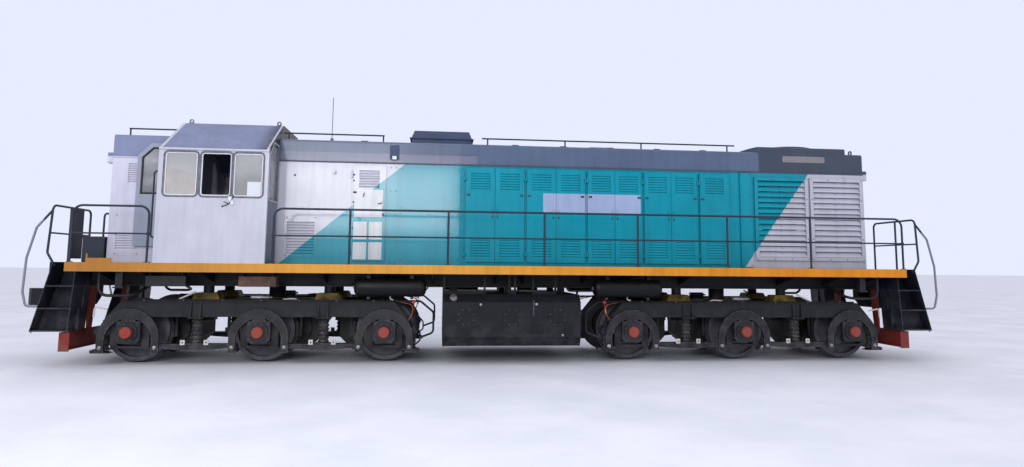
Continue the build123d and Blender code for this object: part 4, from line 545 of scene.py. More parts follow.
def rounded(half_width, half_height, corner, steps=4):
    """Outline of a rectangle with rounded corners."""
    points = []
    for quarter, (sx, sy) in enumerate(((1, 1), (-1, 1), (-1, -1), (1, -1))):
        for step in range(steps + 1):
            angle = (quarter + step / steps) * math.pi / 2
            points.append(Vector((sx * (half_width - corner) + corner * math.cos(angle),
                                  sy * (half_height - corner) + corner * math.sin(angle))))
    return points


def grown(outline, by):
    """Convex outline with every edge moved out."""
    before, after = outline[-1:] + outline[:-1], outline[1:] + outline[:1]
    area = sum(a.x * b.y - b.x * a.y for a, b in zip(outline, after))
    by = math.copysign(by, area * by)
    moved = []
    for a, b, c in zip(before, outline, after):
        first, second = (b - a).normalized(), (c - b).normalized()
        bisector = Vector((first.y + second.y, -first.x - second.x))
        moved.append(b + bisector * (by / (1 + first.dot(second))))
    return moved


def eased(points, reach, steps=4):
    """Line with its corners bent."""
    points = [Vector(point) for point in points]
    path = [points[0]]
    for before, corner, after in zip(points, points[1:], points[2:]):
        start = corner + (before - corner).normalized() * min(reach, (before - corner).length / 2)
        end = corner + (after - corner).normalized() * min(reach, (after - corner).length / 2)
        for step in range(steps + 1):
            share = step / steps
            path.append(start.lerp(corner, share).lerp(corner.lerp(end, share), share))
    return path + [points[-1]]


def spread(low, high, pitch):
    """Even places from low to high, about a pitch apart."""
    count = max(1, round((high - low) / pitch))
    return [low + (high - low) * i / count for i in range(count + 1)]


def circle(radius, sides, offset=0.0):
    """Points round a circle, as cosine and sine parts."""
    angles = [2 * math.pi * (i + offset) / sides for i in range(sides)]
    return [(radius * math.cos(angle), radius * math.sin(angle)) for angle in angles]


# How deep bolts, screws and plates reach into the face they stand on
SUNK = -0.001


class Piece:
    """Small solids gathered in one mesh that rides with one body."""

    def __init__(self, name, material, body=ROOT, slot=None):
        self.name, self.material, self.body = name, material, body
        self.slot = slot or SLOTS[material]
        self.mesh = bmesh.new()

    def loft(self, rings, closed=False):
        """Skin through rings of equally many points, capped at its ends or closed on itself."""
        rows = [[self.mesh.verts.new(point) for point in ring] for ring in rings]
        for low, high in zip(rows, rows[1:] + rows[:1] if closed else rows[1:]):
            for i in range(len(low)):
                self.mesh.faces.new((low[i - 1], low[i], high[i], high[i - 1]))
        if not closed:
            self.mesh.faces.new(rows[0])
            self.mesh.faces.new(rows[-1])

    def turned(self, place, out, profile, sides=16, closed=False):
        """Round form about the outward axis; the profile holds radius and height of each ring."""
        turn = facing(place, out)
        self.loft([[turn @ Vector((*point, height)) for point in circle(radius, sides)]
                   for radius, height in profile], closed)

    def bolt(self, place, out, width=0.022):
        """Hexagon head on a washer."""
        half = width / 2
        self.turned(place, out, [(half * 1.5, SUNK), (half * 1.5, half * 0.22)], 12)
        self.turned(place, out, [(half, half * 0.2), (half, half * 0.85), (half * 0.8, half)], 6)

    def screw(self, place, out, width=0.018):
        """Low domed head."""
        half = width / 2
        dome = [(half * share, half * height) for share, height in ((1, 0.25), (0.75, 0.6), (0.3, 0.75))]
        self.turned(place, out, [(half, SUNK), *dome], 10)

    def bolt_ring(self, place, out, radius, count, width=0.022):
        turn = facing(place, out)
        for point in circle(radius, count, 0.5):
            self.bolt(turn @ Vector((*point, 0)), out, width)

    def plate(self, turn, outline, depth, edge=0.0015):
        """Plate with a chamfered rim, standing on the plane of the matrix."""
        rings = ((0, SUNK), (0, depth - edge), (-edge, depth))
        self.loft([[turn @ Vector((*point, height)) for point in grown(outline, by)] for by, height in rings])

    def panel(self, place, out, sizes, depth, edge=0.0015):
        """Rounded plate on a face; the sizes are half its width, half its height and its corner."""
        self.plate(facing(place, out), rounded(*sizes), depth, edge)

    def rim(self, turn, outline, section):
        """Band round an outline; the section holds how far out and how high each of its corners is."""
        self.loft([[turn @ Vector((*point, height)) for point in grown(outline, by)]
                   for by, height in section], True)

    def box(self, low, high, edge=0.003):
        """Box with chamfered edges."""
        low, high = Vector(low), Vector(high)
        middle, half = (low + high) / 2, (high - low) / 2
        levels = ((edge, low.z), (0, low.z + edge), (0, high.z - edge), (edge, high.z))
        self.loft([[(middle.x + p.x, middle.y + p.y, z)
                    for p in rounded(half.x - inset, half.y - inset, edge, 2)] for inset, z in levels])

    def block(self, foot, half_x, half_y, height):
        """Box standing on the middle of its foot."""
        x, y, z = foot
        self.box((x - half_x, y - half_y, z), (x + half_x, y + half_y, z + height))

    def pipe(self, points, radius, reach=None, sides=8):
        """Round bar along a bent line."""
        path = eased(points, reach or 4 * radius)
        side, rings = None, []
        for i, point in enumerate(path):
            along = (path[min(i + 1, len(path) - 1)] - path[max(i - 1, 0)]).normalized()
            side = (along.orthogonal() if side is None else side - along * side.dot(along)).normalized()
            other = along.cross(side)
            rings.append([point + side * a + other * b for a, b in circle(radius, sides)])
        self.loft(rings)

    def grip(self, start, end, lift, radius, reach):
        """Handle from start to end that stands off by the lift."""
        start, end, lift = Vector(start), Vector(end), Vector(lift)
        self.pipe([start, start + lift, end + lift, end], radius, reach)

    def done(self):
        bmesh.ops.recalc_face_normals(self.mesh, faces=self.mesh.faces)
        mesh = bpy.data.meshes.new(self.name)
        self.mesh.to_mesh(mesh)
        self.mesh.free()
        mesh.shade_smooth()
        mesh.set_sharp_from_angle(angle=math.radians(40))
        mesh.materials.append(MATERIALS[self.material])
        thing = bpy.data.objects.new(self.name, mesh)
        bpy.context.scene.collection.objects.link(thing)
        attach(thing, self.body)
        return thing


def finish(*pieces):
    """Turn pieces into objects, in the order given."""
    for piece in pieces:
        piece.done()


# Side windows, x from the cab's back wall, and sections of their seals and sashes
SIDE_WINDOWS = ((0.095, 0.635), (0.675, 1.185), (1.205, 1.700))
WINDOW_LOW, WINDOW_HIGH = DECK + 1.11, DECK + 1.86
RUBBER_SECTION = ((-0.012, -0.030), (-0.012, 0.004), (-0.004, 0.009), (0.012, 0.009), (0.020, 0.004),
                  (0.020, -0.002))
SASH_SECTION = ((-0.030, -0.024), (-0.030, -0.010), (-0.011, -0.006), (-0.011, -0.024))
EDGE_SECTION = ((0.020, -0.002), (0.020, 0.006), (0.034, 0.006), (0.034, -0.002))
DOOR_SECTION = ((-0.012, -0.012), (-0.012, 0.004), (-0.004, 0.008), (0.012, 0.008), (0.018, 0.004),
                (0.018, -0.002))
# Bay window beside the hood, and the door's own pane, across and up in their end wall
BAY_OUTLINE = [Vector(p) for p in ((-0.925, 2.818), (-0.925, 3.788), (-1.225, 3.788), (-1.445, 3.568),
                                   (-1.445, 2.818))]
DOOR_OUTLINE = [Vector(p) for p in ((0.995, 2.918), (1.370, 2.918), (1.370, 3.546), (1.203, 3.713),
                                    (0.995, 3.713))]


def window_trim():
    """Rubber seals and light sash frames of the cab's windows."""
    seals, sashes = Piece("window_seals", "aged_rubber"), Piece("window_sashes", "white")
    for x0, x1 in SIDE_WINDOWS:
        outline = rounded((x1 - x0) / 2, (WINDOW_HIGH - WINDOW_LOW) / 2, 0.06)
        for side in SIDES:
            place = ((x0 + x1) / 2 + CAB_BACK, side * CAB_Y, (WINDOW_LOW + WINDOW_HIGH) / 2)
            turn = facing(place, (0, side, 0))
            seals.rim(turn, outline, RUBBER_SECTION)
            sashes.rim(turn, outline, SASH_SECTION)
    for x, way in ((CAB_BACK, -1), (CAB_FRONT, 1)):
        turn = facing((x, 0, 0), (way, 0, 0))
        seals.rim(turn, BAY_OUTLINE, RUBBER_SECTION)
        sashes.rim(turn, BAY_OUTLINE, EDGE_SECTION)
    finish(seals, sashes)
    hinge = Matrix.Translation((*BACK_HINGE, 0))
    swung = hinge @ Matrix.Rotation(-math.pi / 2, 4, "Z") @ hinge.inverted()
    mirrored = [Vector((-p.x, p.y)) for p in DOOR_OUTLINE]
    for word, wall, way, turn in (("back", CAB_BACK, -1, swung), ("front", CAB_FRONT, 1, Matrix())):
        seal = Piece(f"cab_door_{word}_seal", "rubber", f"cab_door_{word}")
        seal.rim(turn @ facing((wall + way * 0.041, 0, 0), (way, 0, 0)), DOOR_OUTLINE, DOOR_SECTION)
        seal.rim(turn @ facing((wall + way * 0.005, 0, 0), (-way, 0, 0)), mirrored, DOOR_SECTION)
        seal.done()


def cab_side_details():
    """Folded mirror under the open window, and a hook and a stick behind the glass."""
    arm, mirror = Piece("mirror_arm", "rubber"), Piece("mirror_back", "white")
    inside = Piece("window_hook", "rubber")
    for side in SIDES:
        out, y = (0, side, 0), side * (CAB_Y + 0.008)
        arm.pipe([(-4.90, y, 2.655), (-4.80, y, 2.69), (-4.72, y, 2.83)], 0.007)
        arm.pipe([(-4.88, y, 2.735), (-4.795, y, 2.695)], 0.006)
        arm.bolt((-4.90, side * CAB_Y, 2.655), out, 0.02)
        turn = facing((-4.765, side * (CAB_Y + 0.003), 2.755), out) @ Matrix.Rotation(-0.5 * side, 4, "Z")
        mirror.plate(turn, rounded(0.03, 0.075, 0.02), 0.010, 0.003)
    y = 0.062 - CAB_Y
    inside.pipe([(-5.43, y, 3.44), (-5.37, y, 3.44), (-5.35, y, 3.385)], 0.007)
    inside.pipe([(-4.565, y, 3.04), (-4.555, y, 3.22)], 0.012)
    finish(arm, mirror, inside)


def desk_details():
    """Gauges, switches, the controller and two brake handles on the driver's desk."""
    out = Vector((-0.457, 0, 0.889))
    middle = Vector((CAB_FRONT - 0.485, 0, CAB_FLOOR + 0.855))
    across = facing(middle, out).col[0].xyz
    rims, levers = Piece("gauge_rims", "rubber"), Piece("brake_handles", "metal")
    dials = Piece("gauge_dials", "white", slot="cab_lining")
    for i, radius in enumerate((0.055, 0.055, 0.04, 0.04, 0.055, 0.04)):
        place = middle + across * (-0.55 + 0.17 * i)
        bore = radius - 0.008
        ring = [(radius, -0.002), (radius, 0.014), (radius - 0.006, 0.018), (bore, 0.006)]
        rims.turned(place, out, ring, 20, True)
        dials.turned(place, out, [(bore, 0.0), (bore, 0.008)], 20)
    for i in range(9):
        place = middle + across * (0.10 + 0.035 * i) - Vector((0.12, 0, 0.062))
        rims.turned(place, out, [(0.010, -0.002), (0.010, 0.006), (0.004, 0.008), (0.004, 0.028)], 8)
    top = CAB_FLOOR + 0.95
    x, y = CAB_FRONT - 0.17, -0.45
    rims.box((x - 0.10, -0.25, top - 0.002), (x + 0.08, 0.05, top + 0.05), 0.008)
    rims.turned((x, y, top), (0, 0, 1), [(0.06, -0.002), (0.06, 0.08), (0.045, 0.095), (0.02, 0.10)])
    rims.pipe([(x, y, top + 0.09), (x - 0.02, y, top + 0.13), (x - 0.17, y, top + 0.13)], 0.011)
    for y in (0.28, 0.38):
        levers.turned((x, y, top), (0, 0, 1), [(0.035, -0.002), (0.035, 0.05), (0.02, 0.07)])
        levers.pipe([(x, y, top + 0.06), (x - 0.03, y, top + 0.085), (x - 0.16, y, top + 0.085)], 0.009)
    finish(rims, dials, levers)


def cushion(name, turn, half_width, half_height, thickness, crown):
    """Crowned pad with a full rim, standing on the plane of the matrix."""
    pad = Piece(name, "leather")
    levels = [(-0.024, 0.0), (-0.006, 0.010), (0.0, 0.03), (0.0, thickness * 0.55), (-0.006, thickness * 0.8)]
    for share in (i / 9 for i in range(9)):
        rise = crown * math.sin(share * math.pi / 2)
        levels.append((-0.022 - share * (half_width - 0.05), thickness + rise))
    outline = rounded(half_width, half_height, 0.06, 6)
    pad.loft([[turn @ Vector((p.x * (half_width + inset) / half_width,
                              p.y * (half_height + inset) / half_height, height)) for p in outline]
              for inset, height in levels])
    pad.done()


def seats():
    """Seat and back pads over the two cab seats, with a seam cord round each."""
    piping = Piece("seat_piping", "rubber")
    x, z = CAB_BACK + 0.67, CAB_FLOOR + 0.39
    for number, y in enumerate((-1.05, 0.90), 1):
        seat, back = facing((x, y, z - 0.005), (0, 0, 1)), facing((x - 0.245, y, z + 0.325), (1, 0, 0))
        for word, turn, half_width, half_height, thickness, crown in (
                ("seat", seat, 0.226, 0.226, 0.10, 0.03), ("back", back, 0.216, 0.236, 0.085, 0.02)):
            cushion(f"{word}_pad_{number}", turn, half_width, half_height, thickness, crown)
            level = thickness - 0.015
            piping.rim(turn, rounded(half_width - 0.004, half_height - 0.004, 0.06, 6),
                       ((0, level - 0.004), (0.005, level), (0, level + 0.004), (-0.005, level)))
    piping.done()


# Screwed plates on the hood's sides: where x is counted from, x from and to, height over the deck from
# and to, how proud, pitch of the screws
PLATES = (
    (SHORT_X, 0.10, 0.90, 0.12, 0.85, 0.004, 0.38),
    (CAB_FRONT, 0.15, 0.71, 0.12, 0.86, 0.006, 0.35),
    (ENGINE_X, -0.17, -0.02, 0.02, 1.80, 0.008, 0.42),
    (ENGINE_X, 0.03, 1.12, 1.02, 1.78, 0.008, 0.75),
    (ENGINE_X, 0.03, 1.12, 0.07, 0.96, 0.006, 0.55),
    (ENGINE_X, 1.145, 1.185, 0.02, 1.80, 0.010, 0.3),
    (RADIATOR_X, -0.27, -0.04, 0.02, 1.83, 0.030, 0.42),
    (RADIATOR_X, 0.02, 1.11, 0.15, 1.755, 0.030, 0.4),
    (RADIATOR_X, 1.15, 2.24, 0.15, 1.755, 0.030, 0.4),
)
SCREW_INSET = 0.032
LABEL_SIZES = (0.040, 0.034, 0.004)
LABEL_SECTION = ((0.0, -0.001), (0.0, 0.014), (0.012, 0.014), (0.012, -0.001))


def hood_screws():
    """Screws round the hood's plates, a bolt, a plate on the cowl, and a blank one on the roof joint."""
    screws = Piece("hood_screws", "bolt")
    cowl_plates, labels = Piece("cowl_plates", "faded"), Piece("blank_plates", "white")
    borders, joints = Piece("plate_borders", "rubber"), Piece("roof_joints", "roof")
    for side in SIDES:
        out = (0, side, 0)
        for start, x0, x1, z0, z1, proud, pitch in PLATES:
            wide = x1 - x0 > 0.1
            xs = spread(x0 + SCREW_INSET, x1 - SCREW_INSET, pitch) if wide else [(x0 + x1) / 2]
            zs = spread(z0 + SCREW_INSET, z1 - SCREW_INSET, pitch)
            rows = {(x, z) for x in xs for z in (zs[0], zs[-1])}
            columns = {(x, z) for x in (xs[0], xs[-1]) for z in zs}
            for x, z in sorted(rows | columns):
                screws.screw((start + x, side * (HOOD_Y + proud), DECK + z), out, 0.02)
        screws.bolt((CAB_FRONT + 0.29, side * HOOD_Y, 3.30), out, 0.026)
        for x in spread(RADIATOR_X + 0.2, RADIATOR_X + 1.86, 0.118):
            for z in (HOOD_EDGE - 0.30, HOOD_EDGE + 0.02):
                screws.screw((x, side * HOOD_Y, z), out, 0.016)
        for x in spread(ENGINE_X + 0.24, ENGINE_X + 1.29, 0.105):
            screws.screw((x, side * 0.50, HOOD_EDGE + 0.09), out, 0.014)
        joint_x = ENGINE_X - 0.09
        label = (joint_x, side * (HOOD_Y + 0.008), 3.66)
        cowl_plates.panel((RADIATOR_X + 1.055, side * HOOD_Y, 3.83), out, (0.435, 0.062, 0.03), 0.003)
        joints.panel((joint_x, side * HOOD_Y, 3.76), out, (0.085, 0.135, 0.004), 0.008)
        labels.panel(label, out, LABEL_SIZES, 0.012)
        borders.rim(facing(label, out), rounded(*LABEL_SIZES), LABEL_SECTION)
    finish(screws, cowl_plates, labels, borders, joints)


def leaves():
    """Leaf name, hinge x, direction and width of every hood door."""
    rows, post = [], ENGINE_X + 1.2
    for bay in (1.13, 1.15, 1.09, 1.09):
        for hinge, way in ((post + 0.02, 1), (post + bay - 0.02, -1)):
            rows.append((f"engine_door_{len(rows) + 1}", hinge, way, bay / 2 - 0.0225))
        post += bay
    return rows + [("fan_room_door", post + 0.02, 1, 0.59), ("switchgear_door", ENGINE_X - 0.83, 1, 0.605)]


def leaf_fittings():
    """Hinge pin heads, a keyhole plate and a small catch on every leaf."""
    low, high = DECK + 0.065, DECK + 1.8
    for name, hinge, way, width in leaves():
        for side, word in SIDE_WORDS:
            fitting = Piece(f"{name}_{word}_fittings", "bolt", f"{name}_{word}")
            out, y = (0, side, 0), side * LEAF_FACE_Y
            for share in (0.1, 0.9):
                pin = (hinge, y, low + share * (high - low) + 0.06)
                fitting.turned(pin, (0, 0, 1), [(0.010, -0.001), (0.010, 0.004), (0.006, 0.007)], 10)
            key = (hinge + way * (width - 0.045), y, DECK + 0.90)
            fitting.panel(key, out, (0.014, 0.024, 0.008), 0.003)
            fitting.turned(key, out, [(0.006, 0.0), (0.006, 0.007), (0.003, 0.009)], 10)
            catch = (hinge + way * 0.055, y, DECK + 1.30)
            fitting.panel(catch, out, (0.032, 0.018, 0.006), 0.006)
            for dx in (-0.02, 0.02):
                fitting.screw(facing(catch, out) @ Vector((dx, 0, 0.006)), out, 0.010)
            fitting.done()


def switchgear_panels():
    """Five pale plates, bolts and two handles on each switchgear leaf."""
    middle = ENGINE_X - 0.53
    for side, word in SIDE_WORDS:
        body, out, y = f"switchgear_door_{word}", (0, side, 0), side * LEAF_FACE_Y
        plates, fitting = Piece(f"{body}_plates", "pale", body), Piece(f"{body}_handles", "rubber", body)
        for x in (middle - 0.1365, middle + 0.1365):
            for z, half_height in ((1.955, 0.155), (2.32, 0.16)):
                plates.panel((x, y, z), out, (0.1185, half_height, 0.012), 0.005, 0.002)
        plates.panel((middle, y, 2.81), out, (0.255, 0.25, 0.012), 0.003)
        for x0, z0, x1, z1 in ((-2.665, 2.93, -2.650, 3.00), (-2.40, 2.80, -2.33, 2.825)):
            fitting.grip((x0, y, z0), (x1, y, z1), (0, side * 0.013, 0), 0.008, 0.01)
        for z in (3.33, 3.22, 2.83, 2.36):
            fitting.bolt((ENGINE_X - 0.80, y, z), out, 0.022)
        finish(plates, fitting)


def roof_height(y, rise):
    """Height of a point over the crowned hood roof."""
    return HOOD_EDGE + CROWN * (1 - (y / (HOOD_Y - 0.05)) ** 2) + rise


def roof_fittings():
    """Handles and screws of the roof lids."""
    handles, screws = Piece("roof_handles", "rail"), Piece("roof_screws", "bolt")
    starts = [ENGINE_X + 1.75 + 0.95 * i for i in range(5)]
    for x0, x1 in [(CAB_FRONT + 0.77, CAB_FRONT + 2.10)] + [(start, start + 0.90) for start in starts]:
        for y in (-0.44, 0.44):
            for x in spread(x0 + 0.05, x1 - 0.05, 0.2):
                screws.screw((x, y, roof_height(y, 0.025)), (0, 0, 1), 0.018)
        x = (x0 + x1) / 2
        for y in (-0.30, 0.30):
            z = roof_height(y, 0.024)
            handles.grip((x - 0.07, y, z), (x + 0.07, y, z), (0, 0, 0.045), 0.007, 0.02)
    finish(handles, screws)


def rail_feet():
    """Flanges under the handrail posts and clamps where the middle rail passes them."""
    feet, bolts = Piece("rail_feet", "rail"), Piece("rail_foot_bolts", "bolt")
    clamp = [(0.018, 0), (0.023, 0.006), (0.023, 0.050), (0.018, 0.056)]
    posts = [CAB_FRONT + dx for dx in (0.12, 1.38, 3.05, 4.73, 6.41, 8.07, 9.65)]
    posts += [7.27, -7.25, CAB_BACK - 0.10]
    for side in SIDES:
        y = side * (CAB_Y - 0.025)
        for x in posts:
            feet.panel((x, y, DECK), (0, 0, 1), (0.05, 0.022, 0.006), 0.008)
            for dx in (-0.036, 0.036):
                bolts.bolt((x + dx, y, DECK + 0.008), (0, 0, 1), 0.014)
            feet.turned((x - 0.028, y, DECK + 0.475), (1, 0, 0), clamp, 12)
    finish(feet, bolts)


# Profiles of the head lamps and marker lamps: radius, and how far out
LAMP_LENS = ((0.149, 0.028), (0.149, 0.055), (0.13, 0.066), (0.09, 0.075), (0.045, 0.080), (0.015, 0.081))
LAMP_RIM = ((0.146, 0.088), (0.150, 0.096), (0.170, 0.096), (0.174, 0.088), (0.174, 0.060), (0.169, 0.060),
            (0.150, 0.086))
MARKER_LENS = ((0.074, 0.084), (0.074, 0.098), (0.055, 0.110), (0.025, 0.116))
MARKER_RIM = ((0.074, 0.108), (0.076, 0.114), (0.086, 0.114), (0.088, 0.108))


def end_wall_fittings():
    """Lamp lenses and rims, the screws and handles of the access panels, and the locker's latch."""
    lenses, rims = Piece("lamp_lenses", "lens"), Piece("lamp_rims", "white")
    screws = Piece("end_screws", "bolt")
    for x, way in ((SHORT_X, -1), (LONG_END_X, 1)):
        out, face = (way, 0, 0), x + way * 0.01
        lamp = (x, 0, HOOD_EDGE - 0.23)
        lenses.turned(lamp, out, LAMP_LENS, 32)
        rims.turned(lamp, out, LAMP_RIM, 32, True)
        for y in (-0.735, 0.735):
            marker = (x, y, DECK + 1.835)
            lenses.turned(marker, out, MARKER_LENS, 24)
            rims.turned(marker, out, MARKER_RIM, 24, True)
        for y in (-0.38, 0.38):
            for z in spread(DECK + 0.16, DECK + 1.46, 0.26):
                screws.bolt((face, y, z), out, 0.020)
        for z in (DECK + 0.5, DECK + 1.1):
            screws.grip((face, 0.30, z - 0.07), (face, 0.30, z + 0.07), (way * 0.05, 0, 0), 0.008, 0.02)
    latch, face, y = Piece("locker_latch", "metal"), SHORT_X - 0.37, -0.745
    latch.panel((face, y, 2.09), (-1, 0, 0), (0.022, 0.045, 0.006), 0.006)
    latch.pipe([(face - 0.004, y, 2.12), (face - 0.022, y, 2.12), (face - 0.022, y, 2.06)], 0.005)
    for y in (-0.89, -0.66):
        latch.turned((SHORT_X - 0.012, y, 2.138), (0, 1, 0), [(0.009, 0), (0.009, 0.06)], 10)
    finish(lenses, rims, screws, latch)


BEAM_FACE_X = 7.87
AIR_COCK = ((0.04, -0.002), (0.04, 0.012), (0.026, 0.016), (0.026, 0.05))
# Rows of bolts on an end beam: across, height, width of the heads
BEAM_BOLTS = (((-0.26, 0.26), (0.98, 1.2), 0.03), ((-0.86, -0.66, 0.66, 0.86), (1.42, 1.62), 0.024))


def beam_fittings():
    """Air cocks with red handles and bolts on both end beams."""
    cocks, handles = Piece("air_cocks", "grease"), Piece("air_cock_handles", "red")
    bolts = Piece("beam_bolts", "bolt")
    for way in SIDES:
        x, out = way * BEAM_FACE_X, (way, 0, 0)
        for y in (-0.36, 0.36):
            cocks.turned((x, y, 1.14), out, AIR_COCK, 12)
            path = [(x + way * 0.03, y, 1.14), (x + way * 0.13, y, 1.14), (x + way * 0.17, y, 1.03)]
            cocks.pipe(path, 0.024, 0.06, 12)
            stem = x + way * 0.08
            handles.pipe([(stem, y, 1.16), (stem, y, 1.19), (stem, y + 0.10, 1.19)], 0.008)
        for ys, zs, width in BEAM_BOLTS:
            for y in ys:
                for z in zs:
                    bolts.bolt((x, y, z), out, width)
    finish(cocks, handles, bolts)


# Air reservoirs: x of their ends, and y and z of their axis
RESERVOIRS = ((-2.73, -1.49), (1.46, 2.72))
RESERVOIR_Y, RESERVOIR_Z = 1.3, 1.323
TANK_FACE_Y = 1.50
# Circle of bolts on the round covers of tank and axleboxes
COVER_BOLT_RADIUS = 0.138
# Plugs on the tank and the reservoirs: radius and how far out
TANK_PLUG = ((0.022, -0.001), (0.022, 0.014), (0.012, 0.018), (0.012, 0.026))
FILLER_CAP = ((0.07, -0.02), (0.07, 0.03), (0.058, 0.045), (0.02, 0.05))
END_PLUG = ((0.03, -0.01), (0.03, 0.012), (0.018, 0.02))


def tank_fittings():
    """Bolts round the tank's covers, a gauge strip, plugs, and reservoir straps with drain cocks."""
    bolts, plugs = Piece("tank_bolts", "bolt"), Piece("tank_plugs", "metal")
    cocks = Piece("drain_cocks", "cream")
    for side in SIDES:
        out, face, y = (0, side, 0), side * TANK_FACE_Y, side * RESERVOIR_Y
        for x in (-0.80, 0.0, 0.79):
            bolts.bolt_ring((x, face + side * 0.010, rail(0.80)), out, COVER_BOLT_RADIUS, 8, 0.018)
        bolts.panel((0.37, face, 0.985), out, (0.013, 0.135, 0.004), 0.010)
        for x, z in ((-0.55, 1.04), (0.42, 1.05), (0.88, 0.52)):
            plugs.turned((x, face, z), out, TANK_PLUG, 12)
        plugs.turned((-1.02, side * 1.425, 1.145), (0, side * 0.66, 0.75), FILLER_CAP, 20)
        for x0, x1 in RESERVOIRS:
            for x in (x0 + 0.25, x1 - 0.25):
                bolts.block((x, y, RESERVOIR_Z - 0.205), 0.024, 0.012, 0.045)
                bolts.bolt((x, y + side * 0.012, RESERVOIR_Z - 0.186), out, 0.02)
            x = (x0 + x1) / 2
            cocks.pipe([(x, y, 1.17), (x, y, 1.12), (x + 0.05, y + side * 0.04, 1.11)], 0.010)
            for end, way in ((x1, 1), (x0, -1)):
                plugs.turned((end - way * 0.004, y, RESERVOIR_Z), (way, 0, 0), END_PLUG, 12)
    finish(bolts, plugs, cocks)


# Round forms on the bogies: radius and how far out
BALANCER_PIN = ((0.034, -0.001), (0.034, 0.010), (0.026, 0.014), (0.026, 0.022), (0.014, 0.026))
BRAKE_CYLINDER = ((0.02, 0), (0.05, 0.012), (0.05, 0.30), (0.04, 0.312), (0.018, 0.316), (0.018, 0.36))
# Pipes and cocks on the bogies: piece, radius, reach of the bends, sides, and points given by metres from
# the pivot towards the outer end, from the middle plane, and over the frame's top
BOGIE_PIPES = (
    ("cocks", 0.016, None, 10, ((1.36, 1.11, 0.03), (1.10, 1.11, 0.155))),
    ("cocks", 0.013, None, 10, ((-0.35, 1.10, 0.03), (-0.52, 1.10, 0.045), (-0.58, 1.10, 0.025))),
    ("cocks", 0.014, 0.05, 10, ((2.46, 1.215, -0.138), (2.66, 1.215, -0.098), (2.67, 1.215, -0.268))),
    ("red_cocks", 0.010, None, 8, ((-2.60, 1.20, 0.005), (-2.60, 1.215, -0.045))),
    ("copper_pipes", 0.010, 0.08, 8, ((-2.24, 1.16, 0.02), (-2.58, 1.16, -0.05), (-2.58, 1.20, -0.208),
                                      (-2.51, 1.20, -0.308))),
    ("copper_pipes", 0.008, 0.08, 8, ((-2.24, 1.13, 0.035), (-2.60, 1.13, -0.02), (-2.60, 1.21, -0.168))),
)


def bogie_fittings():
    """Cover bolts, pins, brake cylinders, cocks, pipes and small light brackets of each bogie."""
    kinds = {"bolts": "bolt", "pins": "metal", "cocks": "cream", "red_cocks": "red", "copper_pipes": "copper"}
    for body, (pivot, outer) in BOGIES.items():
        pieces = {word: Piece(f"{body}_{word}", material, body) for word, material in kinds.items()}
        bolts, pins = pieces["bolts"], pieces["pins"]
        for side in SIDES:
            out, low = (0, side, 0), FRAME_TOP - 0.002
            for x in (pivot - AXLE_STEP, pivot, pivot + AXLE_STEP):
                cover = (x, side * (BOX_FACE_Y + 0.030), AXLE_Z)
                bolts.bolt_ring(cover, out, COVER_BOLT_RADIUS, 8, 0.020)
                for dx in (-0.15, 0.15):
                    for dz in (-0.12, 0.14):
                        bolts.bolt((x + dx, side * BOX_FACE_Y, AXLE_Z + dz), out, 0.024)
                for dx in (-0.4325, 0.4325):
                    pins.turned((x + dx, side * BOX_FACE_Y, AXLE_Z - 0.255), out, BALANCER_PIN, 14)
            for x in (pivot + way * AXLE_STEP / 2 + dx for way in SIDES for dx in (-0.19, 0.19)):
                pieces["cocks"].panel((x, side * 1.19, AXLE_Z - 0.175), out, (0.038, 0.042, 0.008), 0.010)
                bolts.bolt((x, side * 1.20, AXLE_Z - 0.175), out, 0.018)
            x, y = pivot + outer * 0.02, side * 1.06
            pins.turned((x - 0.18, y, FRAME_TOP + 0.062), (1, 0, 0), BRAKE_CYLINDER, 18)
            for dx in (-0.11, 0.09):
                bolts.block((x + dx, y, low), 0.012, 0.055, 0.032)
            cock = (pivot - outer * 2.60, side * 1.17, FRAME_TOP + 0.005)
            pieces["red_cocks"].turned(cock, out, [(0.030, 0), (0.030, 0.03), (0.020, 0.036)], 12)
            for word, radius, reach, sides, points in BOGIE_PIPES:
                path = [(pivot + outer * x, side * y, FRAME_TOP + z) for x, y, z in points]
                pieces[word].pipe(path, radius, reach, sides)
            for dx in spread(-1.9, 1.9, 0.62):
                bolts.block((pivot + dx, side * 1.17, low), 0.014, 0.026, 0.036)
        finish(*pieces.values())


def stair_bolts():
    """Bolts through the stair plates and along the rail guards."""
    bolts = Piece("stair_bolts", "bolt")
    for way in SIDES:
        for side in SIDES:
            for drop in (0.40, 0.76, 1.12):
                for y in (1.18, 1.42):
                    place = (way * (7.526 + 0.25 * drop), side * y, DECK - drop - 0.02)
                    bolts.bolt(place, (way, 0, 0.2), 0.018)
            for y in spread(0.15, 1.30, 0.23):
                bolts.bolt((way * 7.36, side * y, rail(0.50)), (way, 0, 0), 0.022)
    bolts.done()


for build in (window_trim, cab_side_details, desk_details, seats, hood_screws, leaf_fittings,
              switchgear_panels, roof_fittings, rail_feet, end_wall_fittings, beam_fittings, tank_fittings,
              bogie_fittings, stair_bolts):
    build()


# Camera: matched to the photograph's view
PHOTO_WIDTH, PHOTO_HEIGHT = 1024, 467
FOCAL_PIXELS = 669.1
HORIZON_PIXEL = 197.0
SENSOR_WIDTH = 36.0
EYE = Vector((-1.264, -13.149, rail(1.655)))
YAW, PITCH, ROLL = -0.1058, 0.1048, 0.0088


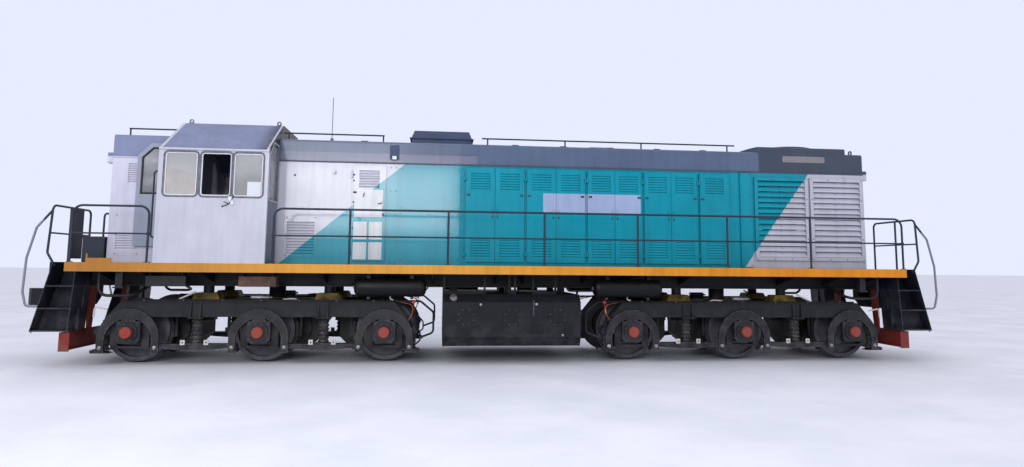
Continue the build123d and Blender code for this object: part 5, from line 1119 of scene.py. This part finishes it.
def camera():
    data = bpy.data.cameras.new("camera")
    data.sensor_width = SENSOR_WIDTH
    data.lens = SENSOR_WIDTH * FOCAL_PIXELS / PHOTO_WIDTH
    data.shift_y = (HORIZON_PIXEL - PHOTO_HEIGHT / 2) / PHOTO_WIDTH
    data.clip_end = 1000.0
    eye = bpy.data.objects.new("camera", data)
    bpy.context.scene.collection.objects.link(eye)
    turn = Matrix.Rotation(YAW, 4, "Z") @ Matrix.Rotation(math.pi / 2 + PITCH, 4, "X")
    eye.matrix_world = Matrix.Translation(EYE) @ turn @ Matrix.Rotation(ROLL, 4, "Z")
    bpy.context.scene.camera = eye


def floor(reach=260.0):
    """Pale ground under the wheels, wide enough to fill the view."""
    mesh = bpy.data.meshes.new("floor")
    corners = [(-reach, -reach, 0), (reach, -reach, 0), (reach, reach, 0), (-reach, reach, 0)]
    mesh.from_pydata(corners, [], [(0, 1, 2, 3)])
    ground = bpy.data.objects.new("floor", mesh)
    bpy.context.scene.collection.objects.link(ground)
    shader = Shader("floor_snow")
    tone = shader.mix(shader.clouds(0.6, 5), (221, 225, 236), (233, 236, 245))
    shader.bump((shader.noise(1.5, 5), 0.02))
    mesh.materials.append(shader.finish(tone, 0.9, Specular_IOR_Level=0.1))


# Lamps: name, place, target, width and height, power
LAMPS = (
    ("key", (-9.0, -16.0, 9.0), (0, 0, 2.0), (14.0, 8.0), 800),
    ("fill", (14.0, -12.0, 6.0), (2.0, 0, 1.5), (8.0, 6.0), 200),
    ("glare", (-4.1, -16.0, 4.4), (-4.1, 0, 4.4), (7.0, 2.7), 400),
)


def area_light(name, place, target, size, power):
    data = bpy.data.lights.new(name, "AREA")
    data.shape = "RECTANGLE"
    data.size, data.size_y = size
    data.energy = power
    lamp = bpy.data.objects.new(name, data)
    bpy.context.scene.collection.objects.link(lamp)
    lamp.location = place
    lamp.rotation_euler = (Vector(target) - Vector(place)).to_track_quat("-Z", "Y").to_euler()
    lamp.visible_camera = False


# Sky: colour seen, colour of its light, height from and to which it grows stronger, and both strengths
SKY_SEEN, SKY_LIGHT = (232, 237, 255), (236, 236, 244)
SKY_RANGE = (0.02, 0.45, 0.42, 1.05)
SKY_NODES = ("LightPath", "Math", "SeparateXYZ", "MapRange", "Background", "Background", "MixShader",
             "OutputWorld")


def world():
    """Soft sky, brighter overhead than at the horizon, seen as pale blue-white."""
    sky = bpy.data.worlds.new("sky")
    bpy.context.scene.world = sky
    sky.use_nodes = True
    tree = sky.node_tree
    tree.nodes.clear()
    join = tree.links.new
    nodes = [tree.nodes.new(f"ShaderNode{kind}") for kind in SKY_NODES]
    path, seen, axes, strength, shown, light, both, output = nodes
    seen.operation = "MAXIMUM"
    join(path.outputs["Is Camera Ray"], seen.inputs[0])
    join(path.outputs["Is Transmission Ray"], seen.inputs[1])
    join(tree.nodes.new("ShaderNodeTexCoord").outputs["Generated"], axes.inputs[0])
    join(axes.outputs[2], strength.inputs[0])
    for number, value in enumerate(SKY_RANGE, 1):
        strength.inputs[number].default_value = value
    shown.inputs[0].default_value = linear(SKY_SEEN)
    light.inputs[0].default_value = linear(SKY_LIGHT)
    join(strength.outputs[0], light.inputs[1])
    for number, source in enumerate((seen, light, shown)):
        join(source.outputs[0], both.inputs[number])
    join(both.outputs[0], output.inputs[0])


camera()
floor()
world()
for lamp_row in LAMPS:
    area_light(*lamp_row)

bpy.context.scene.view_settings.view_transform = "Standard"
